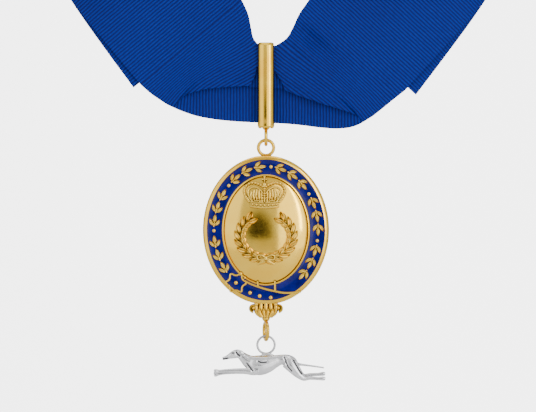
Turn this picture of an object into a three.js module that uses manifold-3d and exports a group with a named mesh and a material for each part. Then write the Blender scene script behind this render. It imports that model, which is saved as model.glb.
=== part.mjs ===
// Badge of office on a neck ribbon: a gilt and enamel oval badge with a running greyhound below it,
// hung from a slotted bar on a ribbed neck ribbon. Millimetres, +Z up, the wearer's front faces -Y.
// Pieces are laid out from the top of the suspension bar, then the whole is moved so that the origin
// is the middle of the ribbon's inner face at the nape of the neck.
import * as THREE from 'three';
import { mergeVertices } from 'three/addons/utils/BufferGeometryUtils.js';
import Module from 'manifold-3d';

const wasm = await Module();
wasm.setup();

// ---- Driving dimensions -------------------------------------------------------------------------
const GAP = 0.3; // clearance between pieces that touch on the real thing

// Neck ribbon: a straight strip wrapped on a cone, whose section is flat in front and round behind.
const RIBBON_WIDTH = 44;
const CLOTH = 1;
const LOOP_LENGTH = 600;
const LIMB_RISE = THREE.MathUtils.degToRad(48.85); // angle of each limb above the horizontal
const LOOP_SKEW = THREE.MathUtils.degToRad(1.25); // the loop hangs slightly to one side
const VEE = [1.9, -32]; // where the limbs' middle lines meet, below the bar's top
const SECTION = { flat: 0.15, corner: 0.12, backCentre: 0.25 }; // proportions of the neck section
const FOLD_START = 42; // distance from the vee at which the pleats begin
const UNDERLAY_DROP = CLOTH + GAP; // the second layer lies this far inside the first

// Suspension bar
const BAR = { width: 5.3, length: 28.3, front: -3.8, back: 2.7, corner: 1.1, shoulder: 1.5 };
const SLOT = { front: -1.95, back: 1.55, top: -0.8, bottom: -27.3 };
const NUB = { top: 1.4, foot: 0.9, overlap: 0.6, z: -29 }; // half widths of the neck above the eye
const EYE = { radius: 2.5, wire: 0.6, z: -31.5 };

// Badge
const TOP_RING = { radius: 2.55, wire: 0.57 };
const PIVOT_Z = EYE.z - EYE.radius + EYE.wire + TOP_RING.wire + GAP;
const OVAL = { halfWidth: 21, halfHeight: 24.8, z: -62.5, y: 0.55 };
const RIM_WIDTH = 1.15;
const BELT_WIDTH = 5;
const INNER_RIM = 0.65;
const FACE = -1.9; // the rims' front, from the oval's middle plane
const BACK = 1.5;
const ENAMEL_FLOOR = -0.5;
const ENAMEL_FACE = -1.6;
const WALL = 0.6; // width of the gilt edges between the enamel fields
const DOME = { edge: 1.2, rise: 2.7, bottom: -0.2 }; // heights towards the front
const DOME_RINGS = 8;
const RELIEF = 0.8; // height of the crown and wreath above the dome
const LOWER_LOOP = { radius: 2.95, wire: 0.6, z: -96.1 };
const HOUND_RING = { radius: 2.9, wire: 0.28 };
const HOUND_RING_Z = LOWER_LOOP.z - LOWER_LOOP.radius + LOWER_LOOP.wire + HOUND_RING.wire + GAP
  - HOUND_RING.radius;

// ---- Materials ----------------------------------------------------------------------------------
const finish = (color, roughness, metalness) =>
  new THREE.MeshStandardMaterial({ color, roughness, metalness });
const ribbonCloth = () => finish(0x0d3f8f, 0.85, 0);
const gilt = () => finish(0xdcb45c, 0.25, 1);
const enamel = () => finish(0x0a1c86, 0.15, 0);
const silver = () => finish(0xd2d3d5, 0.25, 1);

// ---- Solids -------------------------------------------------------------------------------------
// A closed geometry as a solid, its faces turned outwards.
function toSolid(geometry) {
  const bare = geometry.clone();
  bare.deleteAttribute('normal');
  bare.deleteAttribute('uv');
  const merged = mergeVertices(bare, 1e-4);
  const vertProperties = new Float32Array(merged.attributes.position.array);
  const triVerts = new Uint32Array(merged.index.array);
  const solid = new wasm.Manifold(new wasm.Mesh({ numProp: 3, vertProperties, triVerts }));
  if (solid.volume() > 0) return solid;
  return new wasm.Manifold(new wasm.Mesh({ numProp: 3, vertProperties, triVerts: triVerts.reverse() }));
}

function toGeometry(solid) {
  const mesh = solid.getMesh();
  const geometry = new THREE.BufferGeometry();
  geometry.setAttribute('position', new THREE.BufferAttribute(mesh.vertProperties, 3));
  geometry.setIndex(new THREE.BufferAttribute(mesh.triVerts, 1));
  return geometry;
}

const join = (...solids) => solids.reduce((sum, solid) => sum.add(solid));

function piece(name, solid, material) {
  const mesh = new THREE.Mesh(toGeometry(solid), material);
  mesh.name = name;
  return mesh;
}

// A solid from an outline in the (x, z) plane, between two depths along y.
function prism(points, front, back) {
  const shape = new THREE.Shape(points.map(([x, z]) => new THREE.Vector2(x, z)));
  const geometry = new THREE.ExtrudeGeometry(shape, { depth: back - front, bevelEnabled: false });
  geometry.rotateX(Math.PI / 2);
  geometry.translate(0, back, 0);
  return toSolid(geometry);
}

// A prism that reaches past every piece in front and behind, to cut with.
const FAR = 9;
const deep = (points) => prism(points, -FAR, FAR);

function oval(halfWidth, halfHeight, steps = 56) {
  return Array.from({ length: steps }, (_, i) => {
    const angle = (2 * Math.PI * i) / steps;
    return [halfWidth * Math.cos(angle), halfHeight * Math.sin(angle)];
  });
}

// The outline of a narrow line of the given width along a polyline in the (x, z) plane.
function lineOutline(points, width) {
  const side = (sign) => points.map(([x, z], i) => {
    const [ax, az] = points[Math.max(i - 1, 0)];
    const [bx, bz] = points[Math.min(i + 1, points.length - 1)];
    const out = (sign * width) / (2 * Math.hypot(bx - ax, bz - az));
    return [x - out * (bz - az), z + out * (bx - ax)];
  });
  return [...side(1), ...side(-1).reverse()];
}

const ridge = (points, width, front, back) => prism(lineOutline(points, width), front, back);

// A closed sheet between two faces given as grids of points: rows along it, columns across it.
function sheet(rows, columns, frontPoint, backPoint) {
  const positions = [];
  const index = [];
  const at = (face, i, j) => (face * rows + i) * columns + j;
  for (const point of [frontPoint, backPoint]) {
    for (let i = 0; i < rows; i += 1) {
      for (let j = 0; j < columns; j += 1) positions.push(...point(i, j).toArray());
    }
  }
  const quad = (a, b, c, d) => index.push(a, b, c, a, c, d);
  for (let i = 0; i + 1 < rows; i += 1) {
    for (let j = 0; j + 1 < columns; j += 1) {
      quad(at(0, i, j), at(0, i, j + 1), at(0, i + 1, j + 1), at(0, i + 1, j));
      quad(at(1, i, j), at(1, i + 1, j), at(1, i + 1, j + 1), at(1, i, j + 1));
    }
    quad(at(0, i, 0), at(0, i + 1, 0), at(1, i + 1, 0), at(1, i, 0));
    quad(at(0, i, columns - 1), at(1, i, columns - 1), at(1, i + 1, columns - 1), at(0, i + 1, columns - 1));
  }
  for (let j = 0; j + 1 < columns; j += 1) {
    quad(at(0, 0, j), at(1, 0, j), at(1, 0, j + 1), at(0, 0, j + 1));
    quad(at(0, rows - 1, j), at(0, rows - 1, j + 1), at(1, rows - 1, j + 1), at(1, rows - 1, j));
  }
  const geometry = new THREE.BufferGeometry();
  geometry.setAttribute('position', new THREE.Float32BufferAttribute(positions, 3));
  geometry.setIndex(index);
  return toSolid(geometry);
}

// A closed body through oval stations [x, y, z, halfHeight, halfWidth] that follow each other in x, z.
function loft(stations, sides = 8) {
  const positions = [];
  const index = [];
  stations.forEach(([x, y, z, high, wide], i) => {
    const before = stations[Math.max(i - 1, 0)];
    const after = stations[Math.min(i + 1, stations.length - 1)];
    const along = new THREE.Vector2(after[0] - before[0], after[2] - before[2]).normalize();
    for (let k = 0; k < sides; k += 1) {
      const angle = (2 * Math.PI * k) / sides;
      const up = high * Math.sin(angle);
      positions.push(x - along.y * up, y + wide * Math.cos(angle), z + along.x * up);
    }
  });
  const last = stations.length - 1;
  const start = positions.length / 3;
  positions.push(stations[0][0], stations[0][1], stations[0][2]);
  positions.push(stations[last][0], stations[last][1], stations[last][2]);
  for (let k = 0; k < sides; k += 1) {
    const next = (k + 1) % sides;
    for (let i = 0; i < last; i += 1) {
      const a = i * sides + k;
      const b = i * sides + next;
      index.push(a, a + sides, b, b, a + sides, b + sides);
    }
    index.push(start, k, next, start + 1, last * sides + next, last * sides + k);
  }
  const geometry = new THREE.BufferGeometry();
  geometry.setAttribute('position', new THREE.Float32BufferAttribute(positions, 3));
  geometry.setIndex(index);
  return toSolid(geometry);
}

// A wire ring: edgeOn turns it so that it is seen as a line from the front.
function wireRing({ radius, wire }, z, edgeOn, steps = 24) {
  const geometry = new THREE.TorusGeometry(radius, wire, 8, steps);
  if (edgeOn) geometry.rotateY(Math.PI / 2);
  else geometry.rotateX(Math.PI / 2);
  if (edgeOn) geometry.rotateX(Math.PI / 2);
  geometry.translate(0, 0, z);
  return toSolid(geometry);
}

// ---- Neck loop ----------------------------------------------------------------------------------
// The cone's section one unit below its point: a flat, a corner arc and a large back arc.
function sectionPoint(t, scale) {
  const { flat, corner, backCentre } = SECTION;
  const lean = Math.atan2(corner - backCentre, flat);
  const backRadius = corner + Math.hypot(flat, corner - backCentre);
  const cornerLength = corner * (Math.PI / 2 + lean);
  const backLength = backRadius * (Math.PI / 2 - lean);
  const s = t * (flat + cornerLength + backLength);
  if (s <= flat) return [scale * s, 0];
  if (s <= flat + cornerLength) {
    const angle = -Math.PI / 2 + (s - flat) / corner;
    return [scale * (flat + corner * Math.cos(angle)), scale * (corner + corner * Math.sin(angle))];
  }
  const angle = lean + (s - flat - cornerLength) / backRadius;
  return [scale * backRadius * Math.cos(angle), scale * (backCentre + backRadius * Math.sin(angle))];
}

const SECTION_STEPS = 400;

function sectionTable(scale) {
  const rays = [];
  const turns = [0];
  for (let i = 0; i <= SECTION_STEPS; i += 1) {
    const [x, y] = sectionPoint(i / SECTION_STEPS, scale);
    rays.push(new THREE.Vector3(x, y, -1).normalize());
    if (i > 0) turns.push(turns[i - 1] + rays[i].angleTo(rays[i - 1]));
  }
  return { rays, turns };
}

// The section is scaled so that unrolling half of it gives the limb's angle: the strip then closes.
function fittedSection() {
  let low = 0.2;
  let high = 3;
  while (high - low > 1e-9) {
    const middle = (low + high) / 2;
    if (sectionTable(middle).turns[SECTION_STEPS] < LIMB_RISE) low = middle;
    else high = middle;
  }
  return sectionTable(low);
}

const section = fittedSection();
const NAPE_REACH = LOOP_LENGTH / 2 / Math.tan(LIMB_RISE); // from the cone's point to the strip's middle
const VEE_REACH = NAPE_REACH / Math.cos(LIMB_RISE);

function rayAt(turn) {
  const target = Math.min(Math.abs(turn), section.turns[SECTION_STEPS] - 1e-9);
  let i = 1;
  while (section.turns[i] < target) i += 1;
  const part = (target - section.turns[i - 1]) / (section.turns[i] - section.turns[i - 1]);
  const ray = section.rays[i - 1].clone().lerp(section.rays[i], part).normalize();
  const tangent = section.rays[i].clone().sub(section.rays[i - 1]).normalize();
  const outward = ray.clone().cross(tangent).normalize();
  if (turn < 0) {
    ray.x *= -1;
    outward.x *= -1;
  }
  return { ray, outward };
}

// A point of the strip: along from the nape (right is positive), across from its middle line
// (down and out is positive), and lifted off the neck.
function stripPoint(along, across, lift) {
  const reach = Math.hypot(NAPE_REACH + across, along);
  const swing = Math.atan2(Math.abs(along), NAPE_REACH + across);
  const turn = (along < 0 ? -1 : 1) * (LIMB_RISE - swing);
  const { ray, outward } = rayAt(turn);
  const point = ray.multiplyScalar(reach).addScaledVector(outward, lift);
  point.z += VEE_REACH;
  point.applyAxisAngle(new THREE.Vector3(0, 1, 0), LOOP_SKEW);
  return point.add(new THREE.Vector3(VEE[0], 0, VEE[1]));
}

// The front layer's ribs by the bar, from its inner edge to its outer edge or to the pleat's lip:
// [inner x, inner z, outer x, outer z, lift of the front face, lift of the back face].
const LEFT_PLEAT = [
  [-0.4, -8, -2.8, -8.6, 1.6, 0.1],
  [-0.4, -6.6, -7, -14.4, 1.6, 0.1],
  [-0.4, -5.2, -16, -14.9, 1.6, 0.1],
  [-0.4, -3.4, -24, -16.3, 1.6, 0],
  [-0.4, -1.6, -28.6, -18.6, 1.4, -0.1],
  [-2.7, -1.2, -30.2, -21.9, 1.1, -0.3],
  [-4.8, 4.4, -33.6, -20.5, 0.8, -0.4],
  [-5.9, 9.4, -37.6, -17.8, 0.6, -0.5],
];
const RIGHT_PLEAT = [
  [0.4, -9, 3, -9.8, 1.6, 0.1],
  [0.4, -8, 5.7, -14.4, 1.6, 0.1],
  [0.4, -6.6, 10, -17.2, 1.6, 0.1],
  [0.4, -4.8, 18.3, -20, 1.6, 0],
  [0.4, -3.2, 25.7, -22.3, 1.5, 0],
  [0.4, -1.6, 30.4, -24.6, 1.3, -0.1],
  [2.7, -1.2, 31.6, -26.9, 1.1, -0.3],
  [6.4, 1.2, 34.8, -24.8, 0.8, -0.4],
  [8.7, 4.4, 38.6, -22, 0.6, -0.5],
  [10.9, 9.3, 42.5, -19, 0.5, -0.5],
];
// The back layer's ribs, from the hidden fold down to the ribbon's lower edge.
const BACK_LAYER = [
  [-29.6, -19.6, -30, -21.8],
  [-24, -17, -24.2, -24.1],
  [-17.3, -13.3, -17.3, -25.5],
  [-10.7, -9.5, -10.7, -26.2],
  [-3, -6, -3, -26.6],
  [3, -8, 3, -26.8],
  [11, -13, 11, -27.4],
  [18.3, -17.5, 18.3, -28.3],
  [24.7, -21.3, 24.7, -28.7],
  [29, -23.8, 29, -28],
  [30.8, -25, 31.4, -26.8],
];
const BACK_LAYER_LIFTS = [0.3, -1.2];
const STRIP_COLUMNS = 5;
const STRIP_ROWS = 46;

function pleatRow([ax, az, bx, bz, front, back]) {
  return (j, face) => {
    const part = j / (STRIP_COLUMNS - 1);
    const lift = face === 0 ? front : back;
    return new THREE.Vector3(ax + (bx - ax) * part, -lift, az + (bz - az) * part);
  };
}

function stripRow(along, shift, depth) {
  return (j, face) => {
    const across = RIBBON_WIDTH * (j / (STRIP_COLUMNS - 1) - 0.5) + shift;
    return stripPoint(along, across, CLOTH / 2 - face * CLOTH - depth);
  };
}

function sheetOfRows(rows) {
  return sheet(rows.length, STRIP_COLUMNS, (i, j) => rows[i](j, 0), (i, j) => rows[i](j, 1));
}

function neckRibbon() {
  const end = LOOP_LENGTH / 2 - FOLD_START;
  const straight = Array.from({ length: STRIP_ROWS }, (_, i) =>
    stripRow(-end + (2 * end * i) / (STRIP_ROWS - 1), 0, 0));
  const left = LEFT_PLEAT.map(pleatRow);
  const right = RIGHT_PLEAT.map(pleatRow).reverse();
  const loop = sheetOfRows([...left, ...straight, ...right]);
  const [front, back] = BACK_LAYER_LIFTS;
  const band = sheetOfRows(BACK_LAYER.map((rib) => pleatRow([...rib, front, back])));
  return loop.add(band);
}

// The second layer: square-cut ends that stand out past the first layer's outer edges.
const TAIL_START = { left: 42.6, right: 43.2 };
const TAIL_STANDOUT = { left: 2.5, right: 3.7 };
const TAIL_TAPER = 60;

function standOut(along) {
  const side = along < 0 ? 'left' : 'right';
  const fromEnd = LOOP_LENGTH / 2 - TAIL_START[side] - Math.abs(along);
  return TAIL_STANDOUT[side] * Math.max(0, 1 - fromEnd / TAIL_TAPER) ** 1.5;
}

function ribbonUnderlay() {
  const start = -(LOOP_LENGTH / 2 - TAIL_START.left);
  const stop = LOOP_LENGTH / 2 - TAIL_START.right;
  return sheetOfRows(Array.from({ length: STRIP_ROWS }, (_, i) => {
    const along = start + ((stop - start) * i) / (STRIP_ROWS - 1);
    return stripRow(along, standOut(along), UNDERLAY_DROP);
  }));
}

// ---- Suspension bar -----------------------------------------------------------------------------
function roundedPlate(halfWidth, top, bottom, corner) {
  const points = [];
  const centres = [[1, 1, top], [-1, 1, top], [-1, -1, bottom], [1, -1, bottom]];
  centres.forEach(([sx, sz, z], quarter) => {
    for (let i = 0; i <= 4; i += 1) {
      const angle = (quarter + i / 4) * (Math.PI / 2);
      const x = sx * (halfWidth - corner) + corner * Math.cos(angle);
      points.push([x, z - sz * corner + corner * Math.sin(angle)]);
    }
  });
  return points;
}

function suspensionBar() {
  const half = BAR.width / 2;
  const outline = new THREE.Shape();
  const shoulder = BAR.front + BAR.shoulder;
  outline.moveTo(-half, shoulder);
  outline.quadraticCurveTo(-half, BAR.front, 0, BAR.front);
  outline.quadraticCurveTo(half, BAR.front, half, shoulder);
  outline.lineTo(half, BAR.back);
  outline.lineTo(-half, BAR.back);
  const column = new THREE.ExtrudeGeometry(outline, {
    depth: BAR.length, bevelEnabled: false, curveSegments: 6,
  });
  column.translate(0, 0, -BAR.length);
  const rounded = deep(roundedPlate(half + 0.01, 0, -BAR.length, BAR.corner));
  const slotOutline = [[-FAR, SLOT.bottom], [FAR, SLOT.bottom], [FAR, SLOT.top], [-FAR, SLOT.top]];
  const slot = prism(slotOutline, SLOT.front, SLOT.back);
  const nubTop = NUB.overlap - BAR.length;
  const nubOutline = [[-NUB.foot, NUB.z], [NUB.foot, NUB.z], [NUB.top, nubTop], [-NUB.top, nubTop]];
  const nub = prism(nubOutline, -NUB.top, NUB.top);
  return join(toSolid(column).intersect(rounded).subtract(slot), nub, wireRing(EYE, EYE.z, true));
}

// ---- Badge --------------------------------------------------------------------------------------
// Outlines on the badge are measured from the oval's middle.
const channel = {
  outer: [OVAL.halfWidth - RIM_WIDTH, OVAL.halfHeight - RIM_WIDTH],
  inner: [OVAL.halfWidth - RIM_WIDTH - BELT_WIDTH, OVAL.halfHeight - RIM_WIDTH - BELT_WIDTH],
};
const well = channel.inner.map((half) => half - INNER_RIM);

const BUCKLE = { x: -10, z: -17.6, points: 6, tip: 3.4, notch: 2.5 };
const STRAP_EDGE = [
  [-7.2, -17.2], [-5, -18], [-2.6, -18.9], [0, -19.7], [3, -20.4], [5.8, -20.9], [8.6, -20.9], [11.4, -20.6],
];
const KEEPERS = [[[-2.7, -17.2], [-2.6, -18.9]], [[3, -17], [3, -20.2]]];

function buckleOutline(grow) {
  const count = BUCKLE.points * 6;
  return Array.from({ length: count }, (_, i) => {
    const angle = (2 * Math.PI * i) / count + 0.35;
    const wave = (1 + Math.cos(BUCKLE.points * angle)) / 2;
    const radius = BUCKLE.notch + (BUCKLE.tip - BUCKLE.notch) * wave + grow;
    return [BUCKLE.x + radius * Math.cos(angle), BUCKLE.z + radius * Math.sin(angle)];
  });
}

// The strap end below the buckle: from its upper edge down past the rim.
const strapEndOutline = [...STRAP_EDGE, [11.4, -30], [-9.5, -30]];
const keeperOutline = [[-2.6, -14], [3, -14], ...STRAP_EDGE.slice(2, 5).reverse()];

const slabOf = ([a, b], front, back) => prism(oval(a, b), front, back);

function edges(front, back, width) {
  return join(
    ridge(STRAP_EDGE, width, front, back),
    ridge(KEEPERS[0], width, front, back),
    ridge(KEEPERS[1], width, front, back),
    prism(buckleOutline(width / 2), front, back).subtract(deep(buckleOutline(-width / 2))),
  );
}

function enamelRing() {
  const outer = channel.outer.map((half) => half - GAP);
  const inner = channel.inner.map((half) => half + GAP);
  return slabOf(outer, ENAMEL_FACE, ENAMEL_FLOOR - GAP).subtract(slabOf(inner, -FAR, FAR));
}

function enamelFields() {
  const clear = edges(-FAR, FAR, WALL + 2 * GAP);
  const buckle = deep(buckleOutline(0));
  const strapEnd = deep(strapEndOutline);
  const keeper = deep(keeperOutline);
  const ring = enamelRing().subtract(clear);
  const outside = ring.subtract(buckle);
  return {
    belt_enamel: largest(outside.subtract(strapEnd).subtract(keeper)),
    buckle_enamel: largest(ring.intersect(buckle)),
    strap_end_enamel: largest(outside.intersect(strapEnd)),
    keeper_enamel: largest(outside.intersect(keeper).subtract(strapEnd)),
  };
}

// Cutting can leave slivers beside a field: the field is the biggest body.
function largest(solid) {
  return solid.decompose().reduce((best, body) => (body.volume() > best.volume() ? body : best));
}

function dome() {
  const profile = [new THREE.Vector2(0, DOME.bottom), new THREE.Vector2(1, DOME.bottom)];
  for (let i = DOME_RINGS; i >= 0; i -= 1) {
    const angle = ((Math.PI / 2) * i) / DOME_RINGS;
    profile.push(new THREE.Vector2(Math.sin(angle), DOME.edge + DOME.rise * Math.cos(angle)));
  }
  profile[profile.length - 1].x = 0;
  const geometry = new THREE.LatheGeometry(profile, 44);
  geometry.rotateX(Math.PI);
  geometry.scale(well[0] - GAP, 1, well[1] - GAP);
  return toSolid(geometry);
}

const FINIAL = { halfWidth: 3.9, drop: 5.1, z: -25, lobe: 0.06, root: 3.4, front: -1.6, back: 1.3 };
const SCROLL = { radius: 1.25, x: 4.1, y: -0.2, z: -25.9 };

// The fluted leaves below the oval, with a small scroll on each side.
function finial() {
  const steps = 12;
  const fan = Array.from({ length: steps + 1 }, (_, i) => {
    const angle = Math.PI * (1 + i / steps);
    const lobe = 1 + FINIAL.lobe * Math.cos(steps * angle);
    return [FINIAL.halfWidth * lobe * Math.cos(angle), FINIAL.z + FINIAL.drop * lobe * Math.sin(angle)];
  });
  const root = [[FINIAL.root, FINIAL.z + 1], [-FINIAL.root, FINIAL.z + 1]];
  const body = prism([...fan, ...root], FINIAL.front, FINIAL.back);
  const scrolls = [-1, 1].map((side) => {
    const ball = new THREE.SphereGeometry(SCROLL.radius, 10, 6);
    ball.translate(side * SCROLL.x, SCROLL.y, SCROLL.z);
    return toSolid(ball);
  });
  const flutes = [-2, -1, 0, 1, 2].map((k) => loft([
    [k * 1.5, -1.5, -24.6, 0.55, 0.7],
    [k * 1.2, -1.8, -26.5, 0.6, 0.8],
    [k * 0.6, -1.5, -29, 0.3, 0.5],
  ], 6));
  return join(body, ...scrolls, ...flutes);
}

function badgeFrame() {
  const wellFloor = BACK - 1;
  const wellHollow = slabOf(well, FACE - 1, wellFloor);
  const plate = slabOf([OVAL.halfWidth, OVAL.halfHeight], FACE, BACK);
  const rims = plate.subtract(slabOf(channel.outer, FACE - 1, ENAMEL_FLOOR)).subtract(wellHollow);
  const innerRim = slabOf(channel.inner, FACE, BACK).subtract(wellHollow);
  const floor = slabOf(channel.outer, ENAMEL_FLOOR, BACK).subtract(wellHollow);
  const wellCut = slabOf(well, -FAR, FAR);
  const inside = slabOf([OVAL.halfWidth, OVAL.halfHeight], -FAR, FAR).subtract(wellCut);
  const lines = edges(FACE, 0, WALL).intersect(inside);
  const body = join(rims, innerRim, floor, lines, finial());
  const placed = body.translate([0, OVAL.y, OVAL.z]);
  return join(
    placed,
    wireRing(TOP_RING, PIVOT_Z - TOP_RING.radius, false),
    wireRing(LOWER_LOOP, LOWER_LOOP.z, true),
  );
}

// A relief of the given outline that follows the dome, a small gap above it.
function relief(...outlines) {
  const shell = dome().translate([0, -RELIEF - GAP, 0]).subtract(dome().translate([0, -GAP, 0]));
  return largest(shell.intersect(join(...outlines.map(deep))));
}

// Outlines of the crown: its base band, one arch (mirrored for the other), the cross and the post.
const CROWN_BAND = [[-4.6, 6.7], [4.6, 6.7], [5, 9], [-5, 9]];
const CROWN_ARCH = [
  [4.8, 8.6], [6.6, 12], [6.2, 14.4], [3.9, 15.6], [1.2, 14.6], [0, 13.2],
  [0, 11.6], [1.6, 12.9], [3.8, 13.9], [4.9, 13], [4.9, 11.6], [3.4, 8.6],
];
const CROWN_CROSS = [
  [-0.4, 13], [0.4, 13], [0.4, 14.9], [1.3, 14.9], [1.3, 16], [0.4, 16],
  [0.4, 17.2], [-0.4, 17.2], [-0.4, 16], [-1.3, 16], [-1.3, 14.9], [-0.4, 14.9],
];
const CROWN_POST = [[-0.7, 8.6], [0.7, 8.6], [0.6, 13.4], [-0.6, 13.4]];

const mirrored = (points) => points.map(([x, z]) => [-x, z]).reverse();

function crown() {
  return relief(CROWN_BAND, CROWN_ARCH, mirrored(CROWN_ARCH), CROWN_CROSS, CROWN_POST);
}

// One leaf: pointed at both ends, from its root towards its tip.
function leaf(x, z, angle, length, width) {
  const outline = [[0, 0], [0.3, 0.5], [0.65, 0.42], [1, 0], [0.65, -0.42], [0.3, -0.5]];
  return outline.map(([u, v]) => [
    x + u * length * Math.cos(angle) - v * width * Math.sin(angle),
    z + u * length * Math.sin(angle) + v * width * Math.cos(angle),
  ]);
}

const WREATH = { z: -2.6, halfWidth: 8.6, halfHeight: 7.4, start: -100, end: 42, stem: 0.7 };
const WREATH_LEAF = { pairs: 7, first: -86, length: 3.6, width: 1.9, lean: 0.6 };

function wreathPoint(degrees) {
  const angle = THREE.MathUtils.degToRad(degrees);
  return [WREATH.halfWidth * Math.cos(angle), WREATH.z + WREATH.halfHeight * Math.sin(angle)];
}

// One branch of the wreath, on the right: its stem, then its leaves in pairs.
function branch() {
  const share = (count, first) => Array.from({ length: count }, (_, i) =>
    first + ((WREATH.end - first) * i) / (count - 1));
  const outlines = [lineOutline(share(9, WREATH.start).map(wreathPoint), WREATH.stem)];
  for (const degrees of share(WREATH_LEAF.pairs, WREATH_LEAF.first)) {
    const [x, z] = wreathPoint(degrees);
    const growth = THREE.MathUtils.degToRad(degrees + 90);
    for (const lean of [-WREATH_LEAF.lean, WREATH_LEAF.lean]) {
      outlines.push(leaf(x, z, growth + lean, WREATH_LEAF.length, WREATH_LEAF.width));
    }
  }
  return outlines;
}

function wreath() {
  const right = branch();
  return relief(...right, ...right.map(mirrored));
}

// ---- Greyhound ----------------------------------------------------------------------------------
// Stations run [x, y, height above the back line, half height, half width].
const HOUND = {
  body: [
    [-5.6, 0, -2, 1.5, 0.9], [-4.2, 0, -2.9, 2.6, 1.5], [-2.4, 0, -3.2, 2.9, 1.8], [0, 0, -2.9, 2.6, 1.7],
    [2.4, 0, -2.3, 2, 1.4], [4.6, 0, -1.7, 1.6, 1.2], [6.8, 0, -1.9, 1.9, 1.5], [8.6, 0, -2.8, 2, 1.5],
    [9.8, 0, -3.8, 1.2, 0.9],
  ],
  neck: [
    [-3.6, 0, -2.2, 2.1, 1.1], [-5.8, 0, -0.9, 1.5, 0.95], [-7.8, 0, 0.5, 1.05, 0.8], [-9, 0, 0.9, 1, 0.85],
  ],
  head: [
    [-8.4, 0, 0.9, 0.6, 0.5], [-9.4, 0, 0.8, 1.1, 0.9], [-10.8, 0, 0.1, 0.85, 0.75],
    [-12.6, 0, -0.5, 0.5, 0.5], [-14.3, 0, -0.9, 0.35, 0.35],
  ],
  tail: [
    [9.4, 0, -3, 0.7, 0.6], [11.4, 0, -3.4, 0.35, 0.35], [15, 0, -3.9, 0.28, 0.28],
    [19.6, 0, -4.5, 0.25, 0.25],
  ],
};
const foreLeg = (y) => [
  [-2.6, y, -4.6, 1.5, 0.7], [-6, y, -5.1, 0.85, 0.6], [-10, y, -5.1 - 0.4 * y, 0.55, 0.45],
  [-15.4, y, -5.9 - 0.6 * y, 0.45, 0.42], [-17.2, y, -6.2 - 0.8 * y, 0.65, 0.5],
];
const hindLeg = (y) => [
  [7.4, y, -3, 1.9, 0.9], [9.6, y, -5.6 + 0.3 * y, 1.5, 0.8], [11.8, y, -7.2 + 0.4 * y, 0.8, 0.6],
  [14, y, -7.2 + 0.6 * y, 0.5, 0.45], [19.4, y, -7.2 + 0.9 * y, 0.5, 0.5],
];
const LEG_SIDE = 0.9;
const HOUND_SINK = 0.35; // the back line lies this far below the ring's foot
const HOUND_FOOT = [[-1.6, -1], [2.6, -1], [1, 0.65], [-1, 0.65]]; // from the back line up into the ring

function greyhound() {
  const backLine = HOUND_RING_Z - HOUND_RING.radius - HOUND_SINK;
  const legs = [-LEG_SIDE, LEG_SIDE].flatMap((y) => [foreLeg(y), hindLeg(y)]);
  const parts = [HOUND.body, HOUND.neck, HOUND.head, HOUND.tail, ...legs].map((stations) => loft(stations));
  const foot = prism(HOUND_FOOT, -0.5, 0.5);
  return join(join(...parts, foot).translate([0, 0, backLine]), wireRing(HOUND_RING, HOUND_RING_Z, false));
}

// ---- Assembly -----------------------------------------------------------------------------------
const nape = stripPoint(0, 0, -CLOTH / 2 - UNDERLAY_DROP);

const badge = new THREE.Group();
const fields = enamelFields();
const middle = [0, OVAL.y, OVAL.z];
badge.add(piece('badge_frame', badgeFrame(), gilt()));
for (const [name, solid] of Object.entries(fields)) {
  badge.add(piece(name, solid.translate(middle), enamel()));
}
badge.add(piece('medallion', dome().translate(middle), gilt()));
badge.add(piece('crown', crown().translate(middle), gilt()));
badge.add(piece('wreath', wreath().translate(middle), gilt()));
badge.add(piece('greyhound', greyhound(), silver()));

const assembly = new THREE.Group();
assembly.add(piece('neck_ribbon', neckRibbon(), ribbonCloth()));
assembly.add(piece('ribbon_underlay', ribbonUnderlay(), ribbonCloth()));
assembly.add(piece('suspension_bar', suspensionBar(), gilt()));
assembly.add(badge);
assembly.position.copy(nape).negate();

const object = new THREE.Group();
object.add(assembly);
export default object;
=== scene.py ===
import math

import bmesh
import bpy
import numpy as np
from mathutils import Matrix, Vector

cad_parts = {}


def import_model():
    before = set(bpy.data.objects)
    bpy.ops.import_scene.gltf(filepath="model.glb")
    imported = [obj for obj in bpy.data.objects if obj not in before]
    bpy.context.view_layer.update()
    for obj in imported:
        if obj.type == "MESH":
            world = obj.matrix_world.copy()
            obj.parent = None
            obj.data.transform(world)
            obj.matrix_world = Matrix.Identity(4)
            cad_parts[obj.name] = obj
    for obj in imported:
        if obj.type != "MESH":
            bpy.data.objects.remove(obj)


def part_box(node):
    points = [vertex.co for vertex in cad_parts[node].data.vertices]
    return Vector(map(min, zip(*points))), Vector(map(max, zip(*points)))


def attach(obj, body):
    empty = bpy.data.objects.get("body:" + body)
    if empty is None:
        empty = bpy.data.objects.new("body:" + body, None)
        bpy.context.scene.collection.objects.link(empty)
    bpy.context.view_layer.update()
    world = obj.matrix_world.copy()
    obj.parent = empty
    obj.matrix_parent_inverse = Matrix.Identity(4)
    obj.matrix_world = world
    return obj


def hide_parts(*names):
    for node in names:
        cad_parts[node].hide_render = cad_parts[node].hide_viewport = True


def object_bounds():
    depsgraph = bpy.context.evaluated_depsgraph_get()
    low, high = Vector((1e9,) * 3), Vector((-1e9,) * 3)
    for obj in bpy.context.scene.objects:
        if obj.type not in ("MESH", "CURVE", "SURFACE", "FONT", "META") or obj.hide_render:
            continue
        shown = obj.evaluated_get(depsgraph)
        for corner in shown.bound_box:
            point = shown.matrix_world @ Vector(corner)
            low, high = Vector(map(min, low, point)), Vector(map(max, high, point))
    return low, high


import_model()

# Badge of office on a neck ribbon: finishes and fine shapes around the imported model.
# Shapes are laid out in millimetres from the top of the suspension bar (x right, y back, z up) and
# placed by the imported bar's box.
CAD_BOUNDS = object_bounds()

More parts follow.
